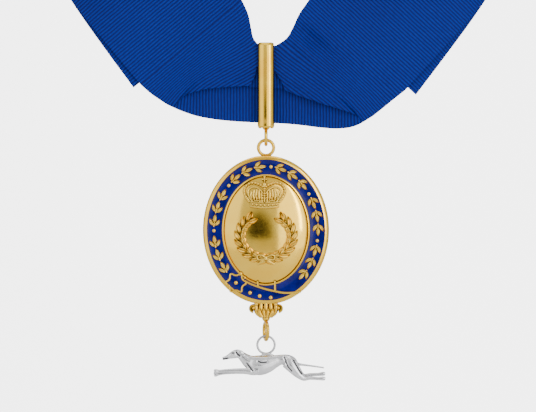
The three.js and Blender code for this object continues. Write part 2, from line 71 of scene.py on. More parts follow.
# ---- Placement ----------------------------------------------------------------------------------
MM = 0.001
BAR_FRONT = 3.8          # the bar's front stands this far before the ribbon's middle plane
_bar_low, _bar_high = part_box("suspension_bar")
ANCHOR = np.array([(_bar_low.x + _bar_high.x) / 2, _bar_low.y + BAR_FRONT * MM, _bar_high.z])
_belt_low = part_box("belt_enamel")[0]
ENAMEL_FACE = -1.6       # the enamel's face, from the oval's middle
OVAL_Y = (_belt_low.y - ANCHOR[1]) / MM - ENAMEL_FACE
OVAL_Z = -62.5


def world(points):
    return ANCHOR + np.asarray(points, float) * MM


# ---- Mesh helpers -------------------------------------------------------------------------------
class Shape:
    """Vertices and faces that pieces are put together from, in millimetres."""

    def __init__(self, verts=(), faces=()):
        self.verts = [tuple(v) for v in verts]
        self.faces = [tuple(f) for f in faces]

    def add(self, other):
        start = len(self.verts)
        self.verts += other.verts
        self.faces += [tuple(i + start for i in f) for f in other.faces]

    def moved(self, x=0.0, y=0.0, z=0.0):
        return Shape([(a + x, b + y, c + z) for a, b, c in self.verts], self.faces)

    def turned(self, degrees):
        """Turned about the upright axis."""
        c, s = math.cos(math.radians(degrees)), math.sin(math.radians(degrees))
        return Shape([(x * c - y * s, x * s + y * c, z) for x, y, z in self.verts], self.faces)


def circle_angles(count):
    """Evenly spaced angles round a circle."""
    return [2 * math.pi * i / count for i in range(count)]


def grid_faces(rows, cols, ring_of_rows=False):
    """Quads over rows of points, each row closed round."""
    return [(i * cols + k, i * cols + (k + 1) % cols, (i + 1) % rows * cols + (k + 1) % cols,
             (i + 1) % rows * cols + k)
            for i in range(rows if ring_of_rows else rows - 1) for k in range(cols)]


def body_of_rows(rows, ring_of_rows=False):
    """A closed body through rows of points, with flat ends or joined round to its first row."""
    cols = len(rows[0])
    last = (len(rows) - 1) * cols
    faces = grid_faces(len(rows), cols, ring_of_rows)
    if not ring_of_rows:
        faces += [tuple(range(cols)), tuple(range(last, last + cols))]
    return Shape([point for row in rows for point in row], faces)


def body_from_tip(tip, rows, far_tip=None):
    """A closed body from a tip through rows of points, to a far tip or a flat end."""
    cols = len(rows[0])
    last = 1 + (len(rows) - 1) * cols
    faces = [(0, 1 + (k + 1) % cols, 1 + k) for k in range(cols)]
    faces += [tuple(i + 1 for i in face) for face in grid_faces(len(rows), cols)]
    verts = [tip] + [point for row in rows for point in row]
    if far_tip is None:
        faces.append(tuple(range(last, last + cols)))
    else:
        faces += [(last + cols, last + k, last + (k + 1) % cols) for k in range(cols)]
        verts.append(far_tip)
    return Shape(verts, faces)


def joined(*shapes):
    whole = Shape()
    for shape in shapes:
        whole.add(shape)
    return whole


def make_piece(name, shape, material, body, nodes=(), smooth_angle=40, attributes=None):
    """A mesh object from a shape, outward normals, riding on a body and standing for CAD nodes."""
    mesh = bpy.data.meshes.new(name)
    mesh.from_pydata(world(shape.verts).tolist(), [], shape.faces)
    for key, values in (attributes or {}).items():
        layer = mesh.attributes.new(key, "FLOAT", "POINT")
        layer.data.foreach_set("value", np.asarray(values, np.float32))
    bm = bmesh.new()
    bm.from_mesh(mesh)
    bmesh.ops.recalc_face_normals(bm, faces=bm.faces)
    bm.to_mesh(mesh)
    bm.free()
    for polygon in mesh.polygons:
        polygon.use_smooth = True
    mesh.set_sharp_from_angle(angle=math.radians(smooth_angle))
    obj = bpy.data.objects.new(name, mesh)
    bpy.context.scene.collection.objects.link(obj)
    obj.data.materials.append(material)
    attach(obj, body)
    if nodes:
        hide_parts(*nodes)
    return obj


def tube(points, radii, sides=10, flat=1.0, loop=False):
    """A round bar along points; radii may change along it; flat squashes it towards the front."""
    path = np.asarray(points, float)
    radii = np.broadcast_to(np.asarray(radii, float), (len(path),))
    if loop:
        tangents = np.roll(path, -1, 0) - np.roll(path, 1, 0)
    else:
        tangents = np.gradient(path, axis=0)
    tangents /= np.linalg.norm(tangents, axis=1)[:, None]
    rows = []
    for point, tangent, radius in zip(path, tangents, radii):
        runs_back = abs(tangent[1]) > 0.95
        side = np.cross(tangent, (1.0, 0.0, 0.0) if runs_back else (0.0, 1.0, 0.0))
        side /= np.linalg.norm(side)
        depth = np.cross(side, tangent) * flat
        rows.append([point + radius * (side * math.cos(t) + depth * math.sin(t))
                     for t in circle_angles(sides)])
    return body_of_rows(rows, loop)


def ring(radius, wire, centre, edge_on=False, steps=48, sides=14):
    """A wire ring that faces the front, or is seen edge on."""
    rows = []
    for t in circle_angles(steps):
        row = []
        for turn in circle_angles(sides):
            out, off = radius + wire * math.cos(turn), wire * math.sin(turn)
            flat = (off, out * math.cos(t)) if edge_on else (out * math.cos(t), off)
            row.append((*flat, out * math.sin(t)))
        rows.append(row)
    return body_of_rows(rows, True).moved(*centre)


def ball(centre, radius, flat=1.0, rings=8, sides=12):
    """A ball, squashed or drawn out towards the front by flat."""
    x, y, z = centre
    rows = []
    for i in range(1, rings):
        out, up = radius * math.sin(math.pi * i / rings), radius * math.cos(math.pi * i / rings)
        rows.append([(x + out * math.cos(t), y + out * math.sin(t) * flat, z + up)
                     for t in circle_angles(sides)])
    return body_from_tip((x, y, z + radius), rows, (x, y, z - radius))


def quads(index):
    corners = [index[:-1, :-1], index[:-1, 1:], index[1:, 1:], index[1:, :-1]]
    return np.stack(corners, -1).reshape(-1, 4)


def sheet_shape(front, back):
    """A closed sheet between two grids of points, rows by columns."""
    rows, cols = front.shape[:2]
    verts = np.concatenate([front.reshape(-1, 3), back.reshape(-1, 3)])
    index = np.arange(rows * cols).reshape(rows, cols)
    under = index + rows * cols
    edges = [np.stack([index[at], under[at]]) for at in (np.s_[:, 0], np.s_[:, -1], 0, -1)]
    faces = np.concatenate([quads(part) for part in (index, under, *edges)])
    return Shape(verts.tolist(), faces.tolist())


def limited_slopes(xs, ys):
    """Slopes at the keys that keep the curve between two keys from running past either."""
    rises = np.diff(ys, axis=0) / np.diff(xs)[:, None]
    slopes = np.vstack([rises[:1], (rises[1:] + rises[:-1]) / 2, rises[-1:]])
    inner = rises[1:] * rises[:-1]
    smaller = np.minimum(np.abs(rises[1:]), np.abs(rises[:-1]))
    held = np.sign(rises[1:]) * np.minimum(np.abs(slopes[1:-1]), 2.5 * smaller)
    slopes[1:-1] = np.where(inner > 0, held, 0.0)
    return slopes


def smooth_path(keys, at, steady=False):
    """Values at new places on a smooth curve through keyed rows: the first column is the place."""
    keys = np.asarray(keys, float)
    xs, ys = keys[:, 0], keys[:, 1:]
    slopes = limited_slopes(xs, ys) if steady else np.gradient(ys, xs, axis=0)
    at = np.clip(at, xs[0], xs[-1])
    i = np.clip(np.searchsorted(xs, at, side="right") - 1, 0, len(xs) - 2)
    step = (xs[i + 1] - xs[i])[:, None]
    t = ((at - xs[i]) / (xs[i + 1] - xs[i]))[:, None]
    return ((2 * t**3 - 3 * t**2 + 1) * ys[i] + (t**3 - 2 * t**2 + t) * step * slopes[i]
            + (-2 * t**3 + 3 * t**2) * ys[i + 1] + (t**3 - t**2) * step * slopes[i + 1])


# ---- Materials ----------------------------------------------------------------------------------
class Nodes:
    """Short names for building the node tree of a material or a world."""

    def __init__(self, owner, shader="Principled BSDF"):
        owner.use_nodes = True
        self.owner = owner
        self.tree = owner.node_tree
        self.shader = self.tree.nodes[shader]

    def feed(self, socket, value):
        if isinstance(value, bpy.types.NodeSocket):
            self.tree.links.new(value, socket)
        else:
            socket.default_value = value

    def new(self, kind, *values, settings=None, **inputs):
        """A node with values for its first sockets and for the named ones."""
        node = self.tree.nodes.new(kind)
        for key, value in (settings or {}).items():
            setattr(node, key, value)
        for socket, value in zip(node.inputs, values):
            self.feed(socket, value)
        for key, value in inputs.items():
            self.feed(node.inputs[key.replace("_", " ")], value)
        return node

    def math(self, operation, a, b=0.0):
        return self.new("ShaderNodeMath", a, b, settings={"operation": operation}).outputs[0]

    def blend(self, factor, a, b):
        node = self.new("ShaderNodeMix", factor, settings={"data_type": "RGBA"})
        self.feed(node.inputs[6], a)
        self.feed(node.inputs[7], b)
        return node.outputs[2]

    def ranged(self, value, low, high, to_low=0, to_high=1):
        return self.new("ShaderNodeMapRange", value, low, high, to_low, to_high).outputs[0]

    def noise(self, scale, detail=3.0, roughness=0.5):
        place = self.new("ShaderNodeTexCoord").outputs["Object"]
        node = self.new("ShaderNodeTexNoise", Vector=place, Scale=scale, Detail=detail, Roughness=roughness)
        return node.outputs["Fac"]

    def attribute(self, name):
        return self.new("ShaderNodeAttribute", settings={"attribute_name": name}).outputs["Fac"]

    def open_sky(self, reach):
        """How open a place is, from 0 deep in a hollow to 1, out to a reach in millimetres."""
        node = self.new("ShaderNodeAmbientOcclusion", settings={"samples": 8}, Distance=reach * MM)
        return node.outputs["AO"]

    def bump(self, height, distance, strength):
        node = self.new("ShaderNodeBump", Height=height, Distance=distance, Strength=strength)
        return node.outputs["Normal"]

    def set(self, **inputs):
        for key, value in inputs.items():
            self.feed(self.shader.inputs[key.replace("_", " ")], value)
        return self.owner


def material_nodes(name):
    return Nodes(bpy.data.materials.new(name))


RIB_PITCH = 1.03         # ribs of the grosgrain, along the ribbon, in millimetres
THREAD_PITCH = 0.32
# Dark brown painted where shade falls: in hollows and beside raised or nearby parts.
PAINTED_HOLLOW_SHADE = (0.16, 0.065, 0.008, 1)


def ribbon_material():
    """Corded silk: painted shade in the grooves and painted light on the ribs, slubs along them and fine
    threads across.
    """
    n = material_nodes("grosgrain")
    wobble = n.math("MULTIPLY", n.math("SUBTRACT", n.noise(260, 2), 0.5), 0.35)
    phase = n.math("MULTIPLY", n.math("ADD", n.attribute("along"), wobble), 2 * math.pi / RIB_PITCH)
    crest = n.ranged(n.math("COSINE", phase), -1, 1)
    # Painted light and shade: bright on the rib crests, dark in the grooves, varied by slub noise.
    painted_rib_light_and_slubs = n.math("MULTIPLY", crest, n.ranged(n.noise(900, 4, 0.6), 0.3, 0.7, 0.75, 1.1))
    # In each pair the first colour is painted groove shade and the second painted rib light; plain and fresh
    # are two tones of the cloth.
    plain = n.blend(painted_rib_light_and_slubs, (0.0002, 0.0025, 0.08, 1), (0.0008, 0.019, 0.28, 1))
    fresh = n.blend(painted_rib_light_and_slubs, (0.0002, 0.0035, 0.10, 1), (0.0008, 0.024, 0.32, 1))
    color = n.blend(n.ranged(n.noise(28, 3), 0.35, 0.7), plain, fresh)
    thread = n.math("COSINE", n.math("MULTIPLY", n.attribute("across"), 2 * math.pi / THREAD_PITCH))
    relief = n.math("ADD", crest, n.math("MULTIPLY", thread, 0.12))
    return n.set(Base_Color=color, Roughness=0.6, Normal=n.bump(relief, 0.12 * MM, 0.6), Sheen_Weight=0.05,
                 Sheen_Roughness=0.4, Sheen_Tint=(0.2, 0.45, 1.0, 1), Specular_IOR_Level=0.14)


def gilt_material(name, dark, bright, rough, wear, reach):
    """Gilding with painted shade, a dark brown laid in its hollows and beside nearby parts, out to a reach in
    millimetres.
    """
    n = material_nodes(name)
    color = n.blend(n.ranged(n.noise(120, 4), 0.3, 0.7), dark, bright)
    # Painted shade: blends to dark brown where nearby surfaces close in (ambient occlusion).
    color = n.blend(n.ranged(n.open_sky(reach), 0.3, 0.92), PAINTED_HOLLOW_SHADE, color)
    roughness = n.ranged(n.noise(700, 4, 0.6), 0.3, 0.7, rough - wear, rough + wear)
    normal = n.bump(n.noise(2600, 3, 0.6), 0.01 * MM, 0.25)
    return n.set(Base_Color=color, Metallic=1.0, Roughness=roughness, Normal=normal)


def enamel_material():
    n = material_nodes("blue_enamel")
    color = n.blend(n.ranged(n.noise(500, 4), 0.3, 0.7), (0.0028, 0.0022, 0.10, 1), (0.0045, 0.0045, 0.19, 1))
    roughness = n.ranged(n.noise(900, 3), 0.3, 0.7, 0.07, 0.16)
    return n.set(Base_Color=color, Roughness=roughness, Normal=n.bump(n.noise(300, 2), 0.04 * MM, 0.25),
                 Coat_Weight=0.15, Coat_Roughness=0.05, Specular_IOR_Level=0.22)


def silver_material():
    """Bright silver, with painted shade in its hollows, in the grooves cut into it and along its ring's
    edges.
    """
    n = material_nodes("silver")
    color = n.blend(n.ranged(n.noise(420, 4), 0.35, 0.65), (0.80, 0.80, 0.82, 1), (0.96, 0.96, 0.97, 1))
    # Painted shade: near black where nearby surfaces close in.
    color = n.blend(n.ranged(n.open_sky(1.6), 0.35, 0.9), (0.04, 0.04, 0.045, 1), color)
    # Painted shade along the pressed grooves and the ring's edges, from a mask stored on the mesh.
    painted_shade_mask = n.ranged(n.attribute("painted_shade_mask"), 0.25, 0.85, 0, 0.96)
    color = n.blend(painted_shade_mask, color, (0.02, 0.02, 0.022, 1))
    roughness = n.ranged(n.noise(1500, 4), 0.3, 0.7, 0.12, 0.24)
    normal = n.bump(n.noise(1800, 3), 0.02 * MM, 0.35)
    return n.set(Base_Color=color, Metallic=1.0, Roughness=roughness, Normal=normal)


GROSGRAIN = ribbon_material()
GILT = gilt_material("gilt", (0.88, 0.49, 0.035, 1), (1.0, 0.65, 0.065, 1), 0.16, 0.05, 0.7)
POLISHED = gilt_material("polished_gilt", (0.94, 0.56, 0.05, 1), (1.0, 0.66, 0.085, 1), 0.12, 0.03, 0.5)
SATIN_GILT = gilt_material("satin_gilt", (0.94, 0.58, 0.07, 1), (1.0, 0.71, 0.12, 1), 0.22, 0.06, 0.6)
ENAMEL = enamel_material()
SILVER = silver_material()

# ---- Neck loop: a strip wrapped on a cone, flat in front and round behind ------------------------
WIDTH = 44.0
LOOP_LENGTH = 600.0
LIMB_RISE = math.radians(48.85)
LOOP_SKEW = math.radians(1.25)
VEE = np.array([1.9, 0.0, -32.0])
FLAT, CORNER, BACK_CENTRE = 0.15, 0.12, 0.25
CLOTH = 0.45             # the woven ribbon's real thickness
FOLD_START = 42.0        # the limbs' own ribs start this far before the loop's end
UNDERLAY_DROP = 1.3      # the inner ribbon's middle, behind the outer one's front
RIB_HEIGHT = 0.11
ROW_PITCH = RIB_PITCH / 4


def section_rays(scale, steps=400):
    """Unit rays from the cone's point round half its section, and the angle turned to each."""
    lean = math.atan2(CORNER - BACK_CENTRE, FLAT)
    back = CORNER + math.hypot(FLAT, CORNER - BACK_CENTRE)
    corner_length, back_length = CORNER * (math.pi / 2 + lean), back * (math.pi / 2 - lean)
    points = []
    for i in range(steps + 1):
        s = (FLAT + corner_length + back_length) * i / steps
        if s <= FLAT:
            point = (s, 0.0)
        elif s <= FLAT + corner_length:
            turn = -math.pi / 2 + (s - FLAT) / CORNER
            point = (FLAT + CORNER * math.cos(turn), CORNER + CORNER * math.sin(turn))
        else:
            turn = lean + (s - FLAT - corner_length) / back
            point = (back * math.cos(turn), BACK_CENTRE + back * math.sin(turn))
        points.append((scale * point[0], scale * point[1], -1.0))
    rays = np.array(points)
    rays /= np.linalg.norm(rays, axis=1)[:, None]
    cosines = np.clip((rays[1:] * rays[:-1]).sum(1), -1, 1)
    return rays, np.concatenate([[0.0], np.cumsum(np.arccos(cosines))])


def fitted_rays():
    low, high = 0.2, 3.0
    while high - low > 1e-9:
        middle = (low + high) / 2
        if section_rays(middle)[1][-1] < LIMB_RISE:
            low = middle
        else:
            high = middle
    return section_rays(low)


RAYS, TURNS = fitted_rays()
_tangents = np.gradient(RAYS, TURNS, axis=0)
OUTWARD = np.cross(RAYS, _tangents)
OUTWARD /= np.linalg.norm(OUTWARD, axis=1)[:, None]
NAPE_REACH = LOOP_LENGTH / 2 / math.tan(LIMB_RISE)
VEE_REACH = NAPE_REACH / math.cos(LIMB_RISE)


def strip_points(along, across, lift):
    """Points of the strip: along from the nape, across from its middle line, lifted off the neck."""
    reach = np.hypot(NAPE_REACH + across, along)
    swing = np.arctan2(np.abs(along), NAPE_REACH + across)
    turn = np.where(along < 0, -1.0, 1.0) * (LIMB_RISE - swing)
    size, sign = np.abs(turn), np.where(turn < 0, -1.0, 1.0)
    ray = np.stack([np.interp(size, TURNS, RAYS[:, k]) for k in range(3)], -1)
    out = np.stack([np.interp(size, TURNS, OUTWARD[:, k]) for k in range(3)], -1)
    ray[..., 0] *= sign
    out[..., 0] *= sign
    points = ray * reach[..., None] + out * lift[..., None]
    points[..., 2] += VEE_REACH
    x = points[..., 0] * math.cos(LOOP_SKEW) + points[..., 2] * math.sin(LOOP_SKEW)
    z = -points[..., 0] * math.sin(LOOP_SKEW) + points[..., 2] * math.cos(LOOP_SKEW)
    return np.stack([x, points[..., 1], z], -1) + VEE


# Each limb's last ribs before the bar, down to the one that meets the pleat's corner. Each row:
# place along the ribbon, inner x, z, outer x, z, bow, lift at either end.
LEFT_LIMB = [
    [0.0, -8.0, 14.1, -41.75, -14.1, 0.0, 0.0, 0.0],
    [4.7, -5.9, 9.4, -38.5, -16.95, 0.4, 0.25, 0.0],
    [9.2, -4.9, 4.6, -35.2, -19.25, 1.1, 0.65, 0.1],
    [12.3, -4.1, 1.3, -32.8, -20.75, 1.7, 0.95, 0.1],
    [14.4, -2.7, -0.6, -30.9, -21.65, 2.2, 1.15, 0.0],
]
RIGHT_LIMB = [
    [0.0, 14.1, 13.9, 46.55, -15.8, 0.0, 0.0, 0.0],
    [5.4, 11.0, 9.4, 42.0, -19.4, 0.2, 0.25, 0.0],
    [10.6, 8.8, 4.7, 38.2, -22.5, 0.6, 0.65, 0.1],
    [14.9, 6.6, 1.2, 35.2, -24.8, 1.0, 0.95, 0.1],
    [18.0, 3.0, -1.2, 32.6, -26.3, 1.3, 1.15, 0.0],
]
# The pleat's lip from its corner to the bar (x, z, lift), and where it turns back beside the bar.
LEFT_LIP = [(-29.4, -19.7, 0.5), (-28.8, -18.4, 1.0), (-27.7, -17.3, 1.4), (-25.0, -16.5, 1.8),
            (-19.7, -15.2, 2.2), (-13.0, -14.6, 2.1), (-8.8, -14.4, 1.8), (-5.3, -14.3, 1.3)]
RIGHT_LIP = [(31.2, -25.1, 0.5), (30.6, -24.2, 1.0), (29.4, -23.5, 1.5), (25.7, -22.3, 2.1),
             (18.3, -20.1, 2.5), (11.4, -17.8, 2.2), (8.0, -16.5, 1.9), (6.2, -15.8, 1.4)]
LEFT_TURN = [(-1.0, 2.0), (-1.0, -7.0), (-2.9, -7.6), (-3.5, -10.8), (-5.3, -14.4)]
RIGHT_TURN = [(1.0, 2.0), (1.0, -8.6), (3.0, -9.4), (5.7, -14.2), (6.3, -16.0)]
SLOT_TOP = -1.15         # the ribbon stays below this inside the bar
UNDER = 2.6              # cloth turned under along a lip
EDGE_FALL = 6            # how late along a rib the limb rounds down to its outer edge
CORNER_LENGTH = 0.9      # ribbon length over which the edge leaves the outline for the lip
# The back layer's ribs, left to right, with their lifts: top x, z, bottom x, z.
BACK_RIBS = [
    [-31.4, -18.2, -33.0, -20.7, -0.6, -0.5],
    [-30.2, -17.6, -31.4, -21.4, -0.5, -0.15],
    [-28.9, -17.4, -29.6, -22.25, -0.35, 0.1],
    [-26.8, -16.2, -27.2, -23.2, -0.3, 0.15],
    [-24.0, -14.6, -24.1, -24.25, -0.3, 0.1],
    [-17.3, -12.0, -17.3, -25.6, -0.35, 0.0],
    [-10.7, -9.0, -10.7, -26.3, -0.5, -0.2],
    [-3.0, -6.0, -3.0, -26.7, -0.7, -0.6],
    [3.0, -7.0, 3.0, -26.9, -0.7, -0.6],
    [11.0, -12.0, 11.0, -27.5, -0.5, -0.2],
    [18.3, -16.0, 18.3, -28.4, -0.35, 0.0],
    [24.7, -18.5, 24.6, -28.7, -0.3, 0.1],
    [28.4, -21.0, 28.5, -28.2, -0.3, 0.15],
    [30.8, -22.4, 31.3, -27.15, -0.35, 0.1],
    [32.2, -22.8, 33.2, -26.05, -0.5, -0.15],
    [33.4, -23.2, 34.9, -24.9, -0.6, -0.5],
]
# The middle layer, which shows as a small flap on each side of the bar.
MIDDLE_RIBS = [
    [-7.5, -7.5, -7.5, -15.0, 0.2, 0.45],
    [-2.5, -5.5, -2.5, -15.0, 0.1, 0.4],
    [2.5, -6.0, 2.5, -15.2, 0.1, 0.4],
    [7.8, -8.5, 7.8, -15.4, 0.2, 0.45],
]
BODY_COLUMNS, EDGE_COLUMNS = 12, 8      # points across a rib, and round its outer edge or lip
EDGE_SHARE = 0.03
ROLL = 0.6               # radius of the pleats' turned edges
LEFT_LEAN, RIGHT_LEAN = 40, -42          # degrees that the limbs' ribs rise towards the right
# Soft hollows and swellings of the limbs: x, z, half length along the ribs, half width, push.
DENTS = [
    (15.6, 0.9, 5.4, 2.2, -2.3),
    (12.2, -2.0, 6.2, 1.6, 0.9),
    (-7.0, 6.0, 5.0, 2.6, 0.8),
    (-32.0, -6.0, 16.0, 6.0, -0.7),
    (-18.0, -2.0, 14.0, 6.0, 0.5),
    (34.0, -8.0, 15.0, 7.0, 0.5),
]


def column_shares(body, edge):
    """Shares of a rib's length: evenly along it, then closely near its outer end."""
    edge_shares = np.linspace(1 - EDGE_SHARE, 1, edge + 1)[1:]
    return np.concatenate([np.linspace(0, 1 - EDGE_SHARE, body), edge_shares])


COLUMNS = column_shares(BODY_COLUMNS, EDGE_COLUMNS)


def push_out(x, z):
    """How far the limbs' dents and swellings lift the ribbon, by place in the front plane."""
    total = np.zeros_like(x)
    for cx, cz, half_long, half_wide, push in DENTS:
        lean = math.radians(LEFT_LEAN if cx < 0 else RIGHT_LEAN)
        u = (x - cx) * math.cos(lean) + (z - cz) * math.sin(lean)
        v = -(x - cx) * math.sin(lean) + (z - cz) * math.cos(lean)
        total += push * np.exp(-(u / half_long) ** 2 - (v / half_wide) ** 2)
    return total


def front_dents(grid):
    """Pushes points near the front plane in or out by the limbs' dents."""
    near = np.clip(1 - grid[..., 1] / 12, 0, 1)
    grid[..., 1] -= push_out(grid[..., 0], grid[..., 2]) * near
    return grid


def bowed(inner, outer, bow, t):
    """Places on a rib that runs straight from the bar and steepens towards its outer end."""
    start, chord = np.asarray(inner, float), np.subtract(outer, inner)
    heading = chord / np.linalg.norm(chord)
    side = np.array([heading[1], -heading[0]]) * (1 if chord[0] < 0 else -1)
    t = np.asarray(t, float)[:, None]
    swell = 27 / 4 * np.clip(t, 0, 1) ** 2 * (1 - t)      # it peaks at 1, two thirds of the way out
    return start + chord * t + side * bow * swell


def rib_points(path, lifts, shares, offset):
    """Points at shares of a rib's length, standing an offset before its path."""
    full = np.linspace(0, 1, len(path))
    x, z, lift = (np.interp(shares, full, values) for values in (path[:, 0], path[:, 1], lifts))
    return np.stack([x, -(lift + offset), z], -1)


def rolled_end(path, lift, offset, count):
    """Points round a rib's turned end and back under it."""
    tail = path[-1] - path[-2]
    tail /= np.linalg.norm(tail)
    turning = count - 2
    points = []
    for i in range(1, count + 1):
        if i <= turning:
            turn = math.pi * i / turning
            place = path[-1] + tail * (ROLL + offset) * math.sin(turn)
            height = lift - ROLL + (ROLL + offset) * math.cos(turn)
        else:
            place = path[-1] - tail * UNDER * (i - turning) / 2
            height = lift - 2 * ROLL - offset
        points.append((place[0], -height, place[1]))
    return points


def rib_row(path, lifts, turned, offset, body=BODY_COLUMNS, edge=EDGE_COLUMNS):
    """A rib's row of points; turned is how far its end is rolled under, from 0 to 1."""
    flat = rib_points(path, lifts, column_shares(body, edge), offset)
    if turned <= 0 or np.linalg.norm(path[-1] - path[0]) < 0.5:
        return flat
    lip = rib_points(path, lifts, np.linspace(0, 1, body), offset)
    rolled = np.concatenate([lip, rolled_end(path, lifts[-1], offset, edge)])
    return flat * (1 - turned) + rolled * turned


def plain_rib(rib, offset, body=BODY_COLUMNS, edge=EDGE_COLUMNS):
    """A rib given by its ends: inner x, z, outer x, z, bow, lift in, lift out."""
    ax, az, bx, bz, bow, lift_in, lift_out = rib
    t = np.linspace(0, 1, 24)
    lifts = lift_in + (lift_out - lift_in) * t ** EDGE_FALL
    return rib_row(bowed((ax, az), (bx, bz), bow, t), lifts, 0.0, offset, body, edge)


def flap_cut(path, lip, turn, side):
    """Where a path comes clear of the turn by the bar, and where it then passes below the lip."""
    order = np.argsort(lip[:, 0])
    height = np.interp(path[:, 0], lip[order, 0], lip[order, 1])
    inside = side * path[:, 0] >= side * np.interp(-path[:, 1], -turn[:, 1], turn[:, 0])
    below = np.nonzero((path[:, 1] < height) & inside)[0]
    return int(np.argmax(inside)), int(below[0]) if len(below) else len(path) - 1


def flap_rib(corner, drop, lip, turn, offset):
    """A rib of the pleat: the corner's rib moved down by drop, cut at the lip and beside the bar."""
    lip, turn = np.asarray(lip), np.asarray(turn)
    side = -1 if corner[2] < 0 else 1
    path = bowed(corner[:2], corner[2:4], corner[4], np.linspace(-0.25, 1, 300))
    lean = math.atan2(corner[1] - corner[3], abs(corner[2] - corner[0])) - 0.08
    path = path + drop * np.array([-side * math.sin(lean), -math.cos(lean)])
    first, last = flap_cut(path, lip, turn, side)
    on_lip = min(drop / CORNER_LENGTH, 1.0)
    end = len(path) - 1
    last = max(int(round(end + (last - end) * on_lip)), first + 2)
    path = path[first:last + 1]
    order = np.argsort(lip[:, 0])
    lip_lift = float(np.interp(path[-1, 0], lip[order, 0], lip[order, 2]))
    tip = lip_lift * on_lip - 0.6 * math.sin(math.pi * on_lip) * (on_lip < 1)
    settled = min(max(drop - CORNER_LENGTH, 0.0) / 4.0, 1.0)
    share = np.linspace(0, 1, len(path))
    lifts = corner[5] + (tip - corner[5]) * share ** (EDGE_FALL - (EDGE_FALL - 2) * settled)
    near_bar = np.abs(path[:, 0]) < 3.0
    path[:, 1] = np.where(near_bar, np.minimum(path[:, 1], SLOT_TOP), path[:, 1])
    turned = np.clip((on_lip - 0.5) * 2, 0, 1) * min(np.linalg.norm(path[-1] - path[0]) / 3.0, 1.0)
    return rib_row(path, lifts, turned, offset)


def crest_at(along):
    return RIB_HEIGHT * (0.5 + 0.5 * np.cos(2 * np.pi * np.asarray(along) / RIB_PITCH))


def face_offsets(crest):
    """How far the cloth's front and back stand before the path it is laid on."""
    return crest, -crest * 0.6 - CLOTH


def pleat_rows(limb, lip, turn, length, start_along, direction):
    """Front and back points, and the along value, of every row from a limb into its pleat."""
    corner_place = limb[-1][0]
    at = np.arange(ROW_PITCH, corner_place + length, ROW_PITCH)
    alongs = start_along + direction * at
    front, back = [], []
    for place, rib, crest in zip(at, smooth_path(limb, at, steady=True), crest_at(alongs)):
        for rows, offset in zip((front, back), face_offsets(crest)):
            if place <= corner_place:
                rows.append(plain_rib(rib, offset))
            else:
                rows.append(flap_rib(limb[-1][1:], place - corner_place, lip, turn, offset))
    return np.array(front), np.array(back), alongs


def straight_rows(alongs, columns, shift, drop):
    """Front and back points of the plain strip, shifted across and sunk towards the neck."""
    along, part = np.meshgrid(alongs, columns, indexing="ij")
    across = WIDTH * (part - 0.5) + np.asarray(shift)[:, None]
    offsets = face_offsets(crest_at(along))
    return [front_dents(strip_points(along, across, offset - drop)) for offset in offsets]


def neck_ribbon():
    """The outer ribbon: the loop with its two pleats, and the two layers behind them."""
    end = LOOP_LENGTH / 2 - FOLD_START
    alongs = np.linspace(-end, end, round(2 * end / ROW_PITCH))
    middle = straight_rows(alongs, COLUMNS, np.zeros(len(alongs)), 0.0)
    left = pleat_rows(LEFT_LIMB, LEFT_LIP, LEFT_TURN, 10.6, -end, -1)
    right = pleat_rows(RIGHT_LIMB, RIGHT_LIP, RIGHT_TURN, 9.6, end, 1)
    sides = [np.concatenate([front_dents(left[i])[::-1], middle[i], front_dents(right[i])]) for i in range(2)]
    along = np.concatenate([left[2][::-1], alongs, right[2]])
    parts = [(sheet_shape(*sides), along, COLUMNS * WIDTH), layer(BACK_RIBS), layer(MIDDLE_RIBS)]
    values = [ribbon_places(*part[1:]) for part in parts]
    places = {key: np.concatenate([value[key] for value in values]) for key in values[0]}
    piece = make_piece("neck_ribbon_cloth", joined(*(part[0] for part in parts)), GROSGRAIN, "neckwear",
                       ["neck_ribbon"], 60, places)


def ribbon_places(along, across):
    """Where on the ribbon each point of a sheet's two faces lies."""
    return {"along": np.tile(np.repeat(along, len(across)), 2), "across": np.tile(across, 2 * len(along))}


def layer(ribs, body=8, edge=3):
    """A layer of upright ribs behind the front one, from rib keys spaced along x."""
    keys = np.asarray(ribs)
    middle = keys[:, [0, 2]].mean(1)
    at = np.arange(middle[0], middle[-1], ROW_PITCH)
    front, back = [], []
    for rib, crest in zip(smooth_path(np.column_stack([middle, keys]), at), crest_at(at)):
        rib = (*rib[:4], 0.0, *rib[4:])
        for rows, offset in zip((front, back), face_offsets(crest)):
            rows.append(plain_rib(rib, offset, body, edge))
    return sheet_shape(np.array(front), np.array(back)), at, np.linspace(0, WIDTH * 0.6, body + edge)


# The inner ribbon's cut ends, left and right: how far before the loop's end they lie, how far they
# stand out sideways, and the length over which that grows.
TAIL_START = (42.6, 43.2)
TAIL_STANDOUT = (2.5, 3.7)
TAIL_TAPER = 60.0


def ribbon_underlay():
    """The inner ribbon, which stands out below the outer one at its two ends."""
    start, end = TAIL_START[0] - LOOP_LENGTH / 2, LOOP_LENGTH / 2 - TAIL_START[1]
    alongs = np.linspace(start, end, round((end - start) / ROW_PITCH))
    columns = np.linspace(0, 1, 13)
    side = (alongs > 0).astype(int)
    from_end = LOOP_LENGTH / 2 - np.array(TAIL_START)[side] - np.abs(alongs)
    shift = np.array(TAIL_STANDOUT)[side] * np.clip(1 - from_end / TAIL_TAPER, 0, 1) ** 1.5
    shape = sheet_shape(*straight_rows(alongs, columns, shift, UNDERLAY_DROP - CLOTH / 2))
    piece = make_piece("ribbon_underlay_cloth", shape, GROSGRAIN, "neckwear",
                       ["ribbon_underlay"], 60, ribbon_places(alongs, columns * WIDTH))


# ---- Suspension bar -----------------------------------------------------------------------------
BAR_HALF, BAR_LENGTH = 2.65, 28.3
SLOT_FRONT, SLOT_BACK, BAR_BACK = -1.95, 1.55, 2.7
EYE_RADIUS, EYE_WIRE, EYE_Z = 2.5, 0.6, -31.5


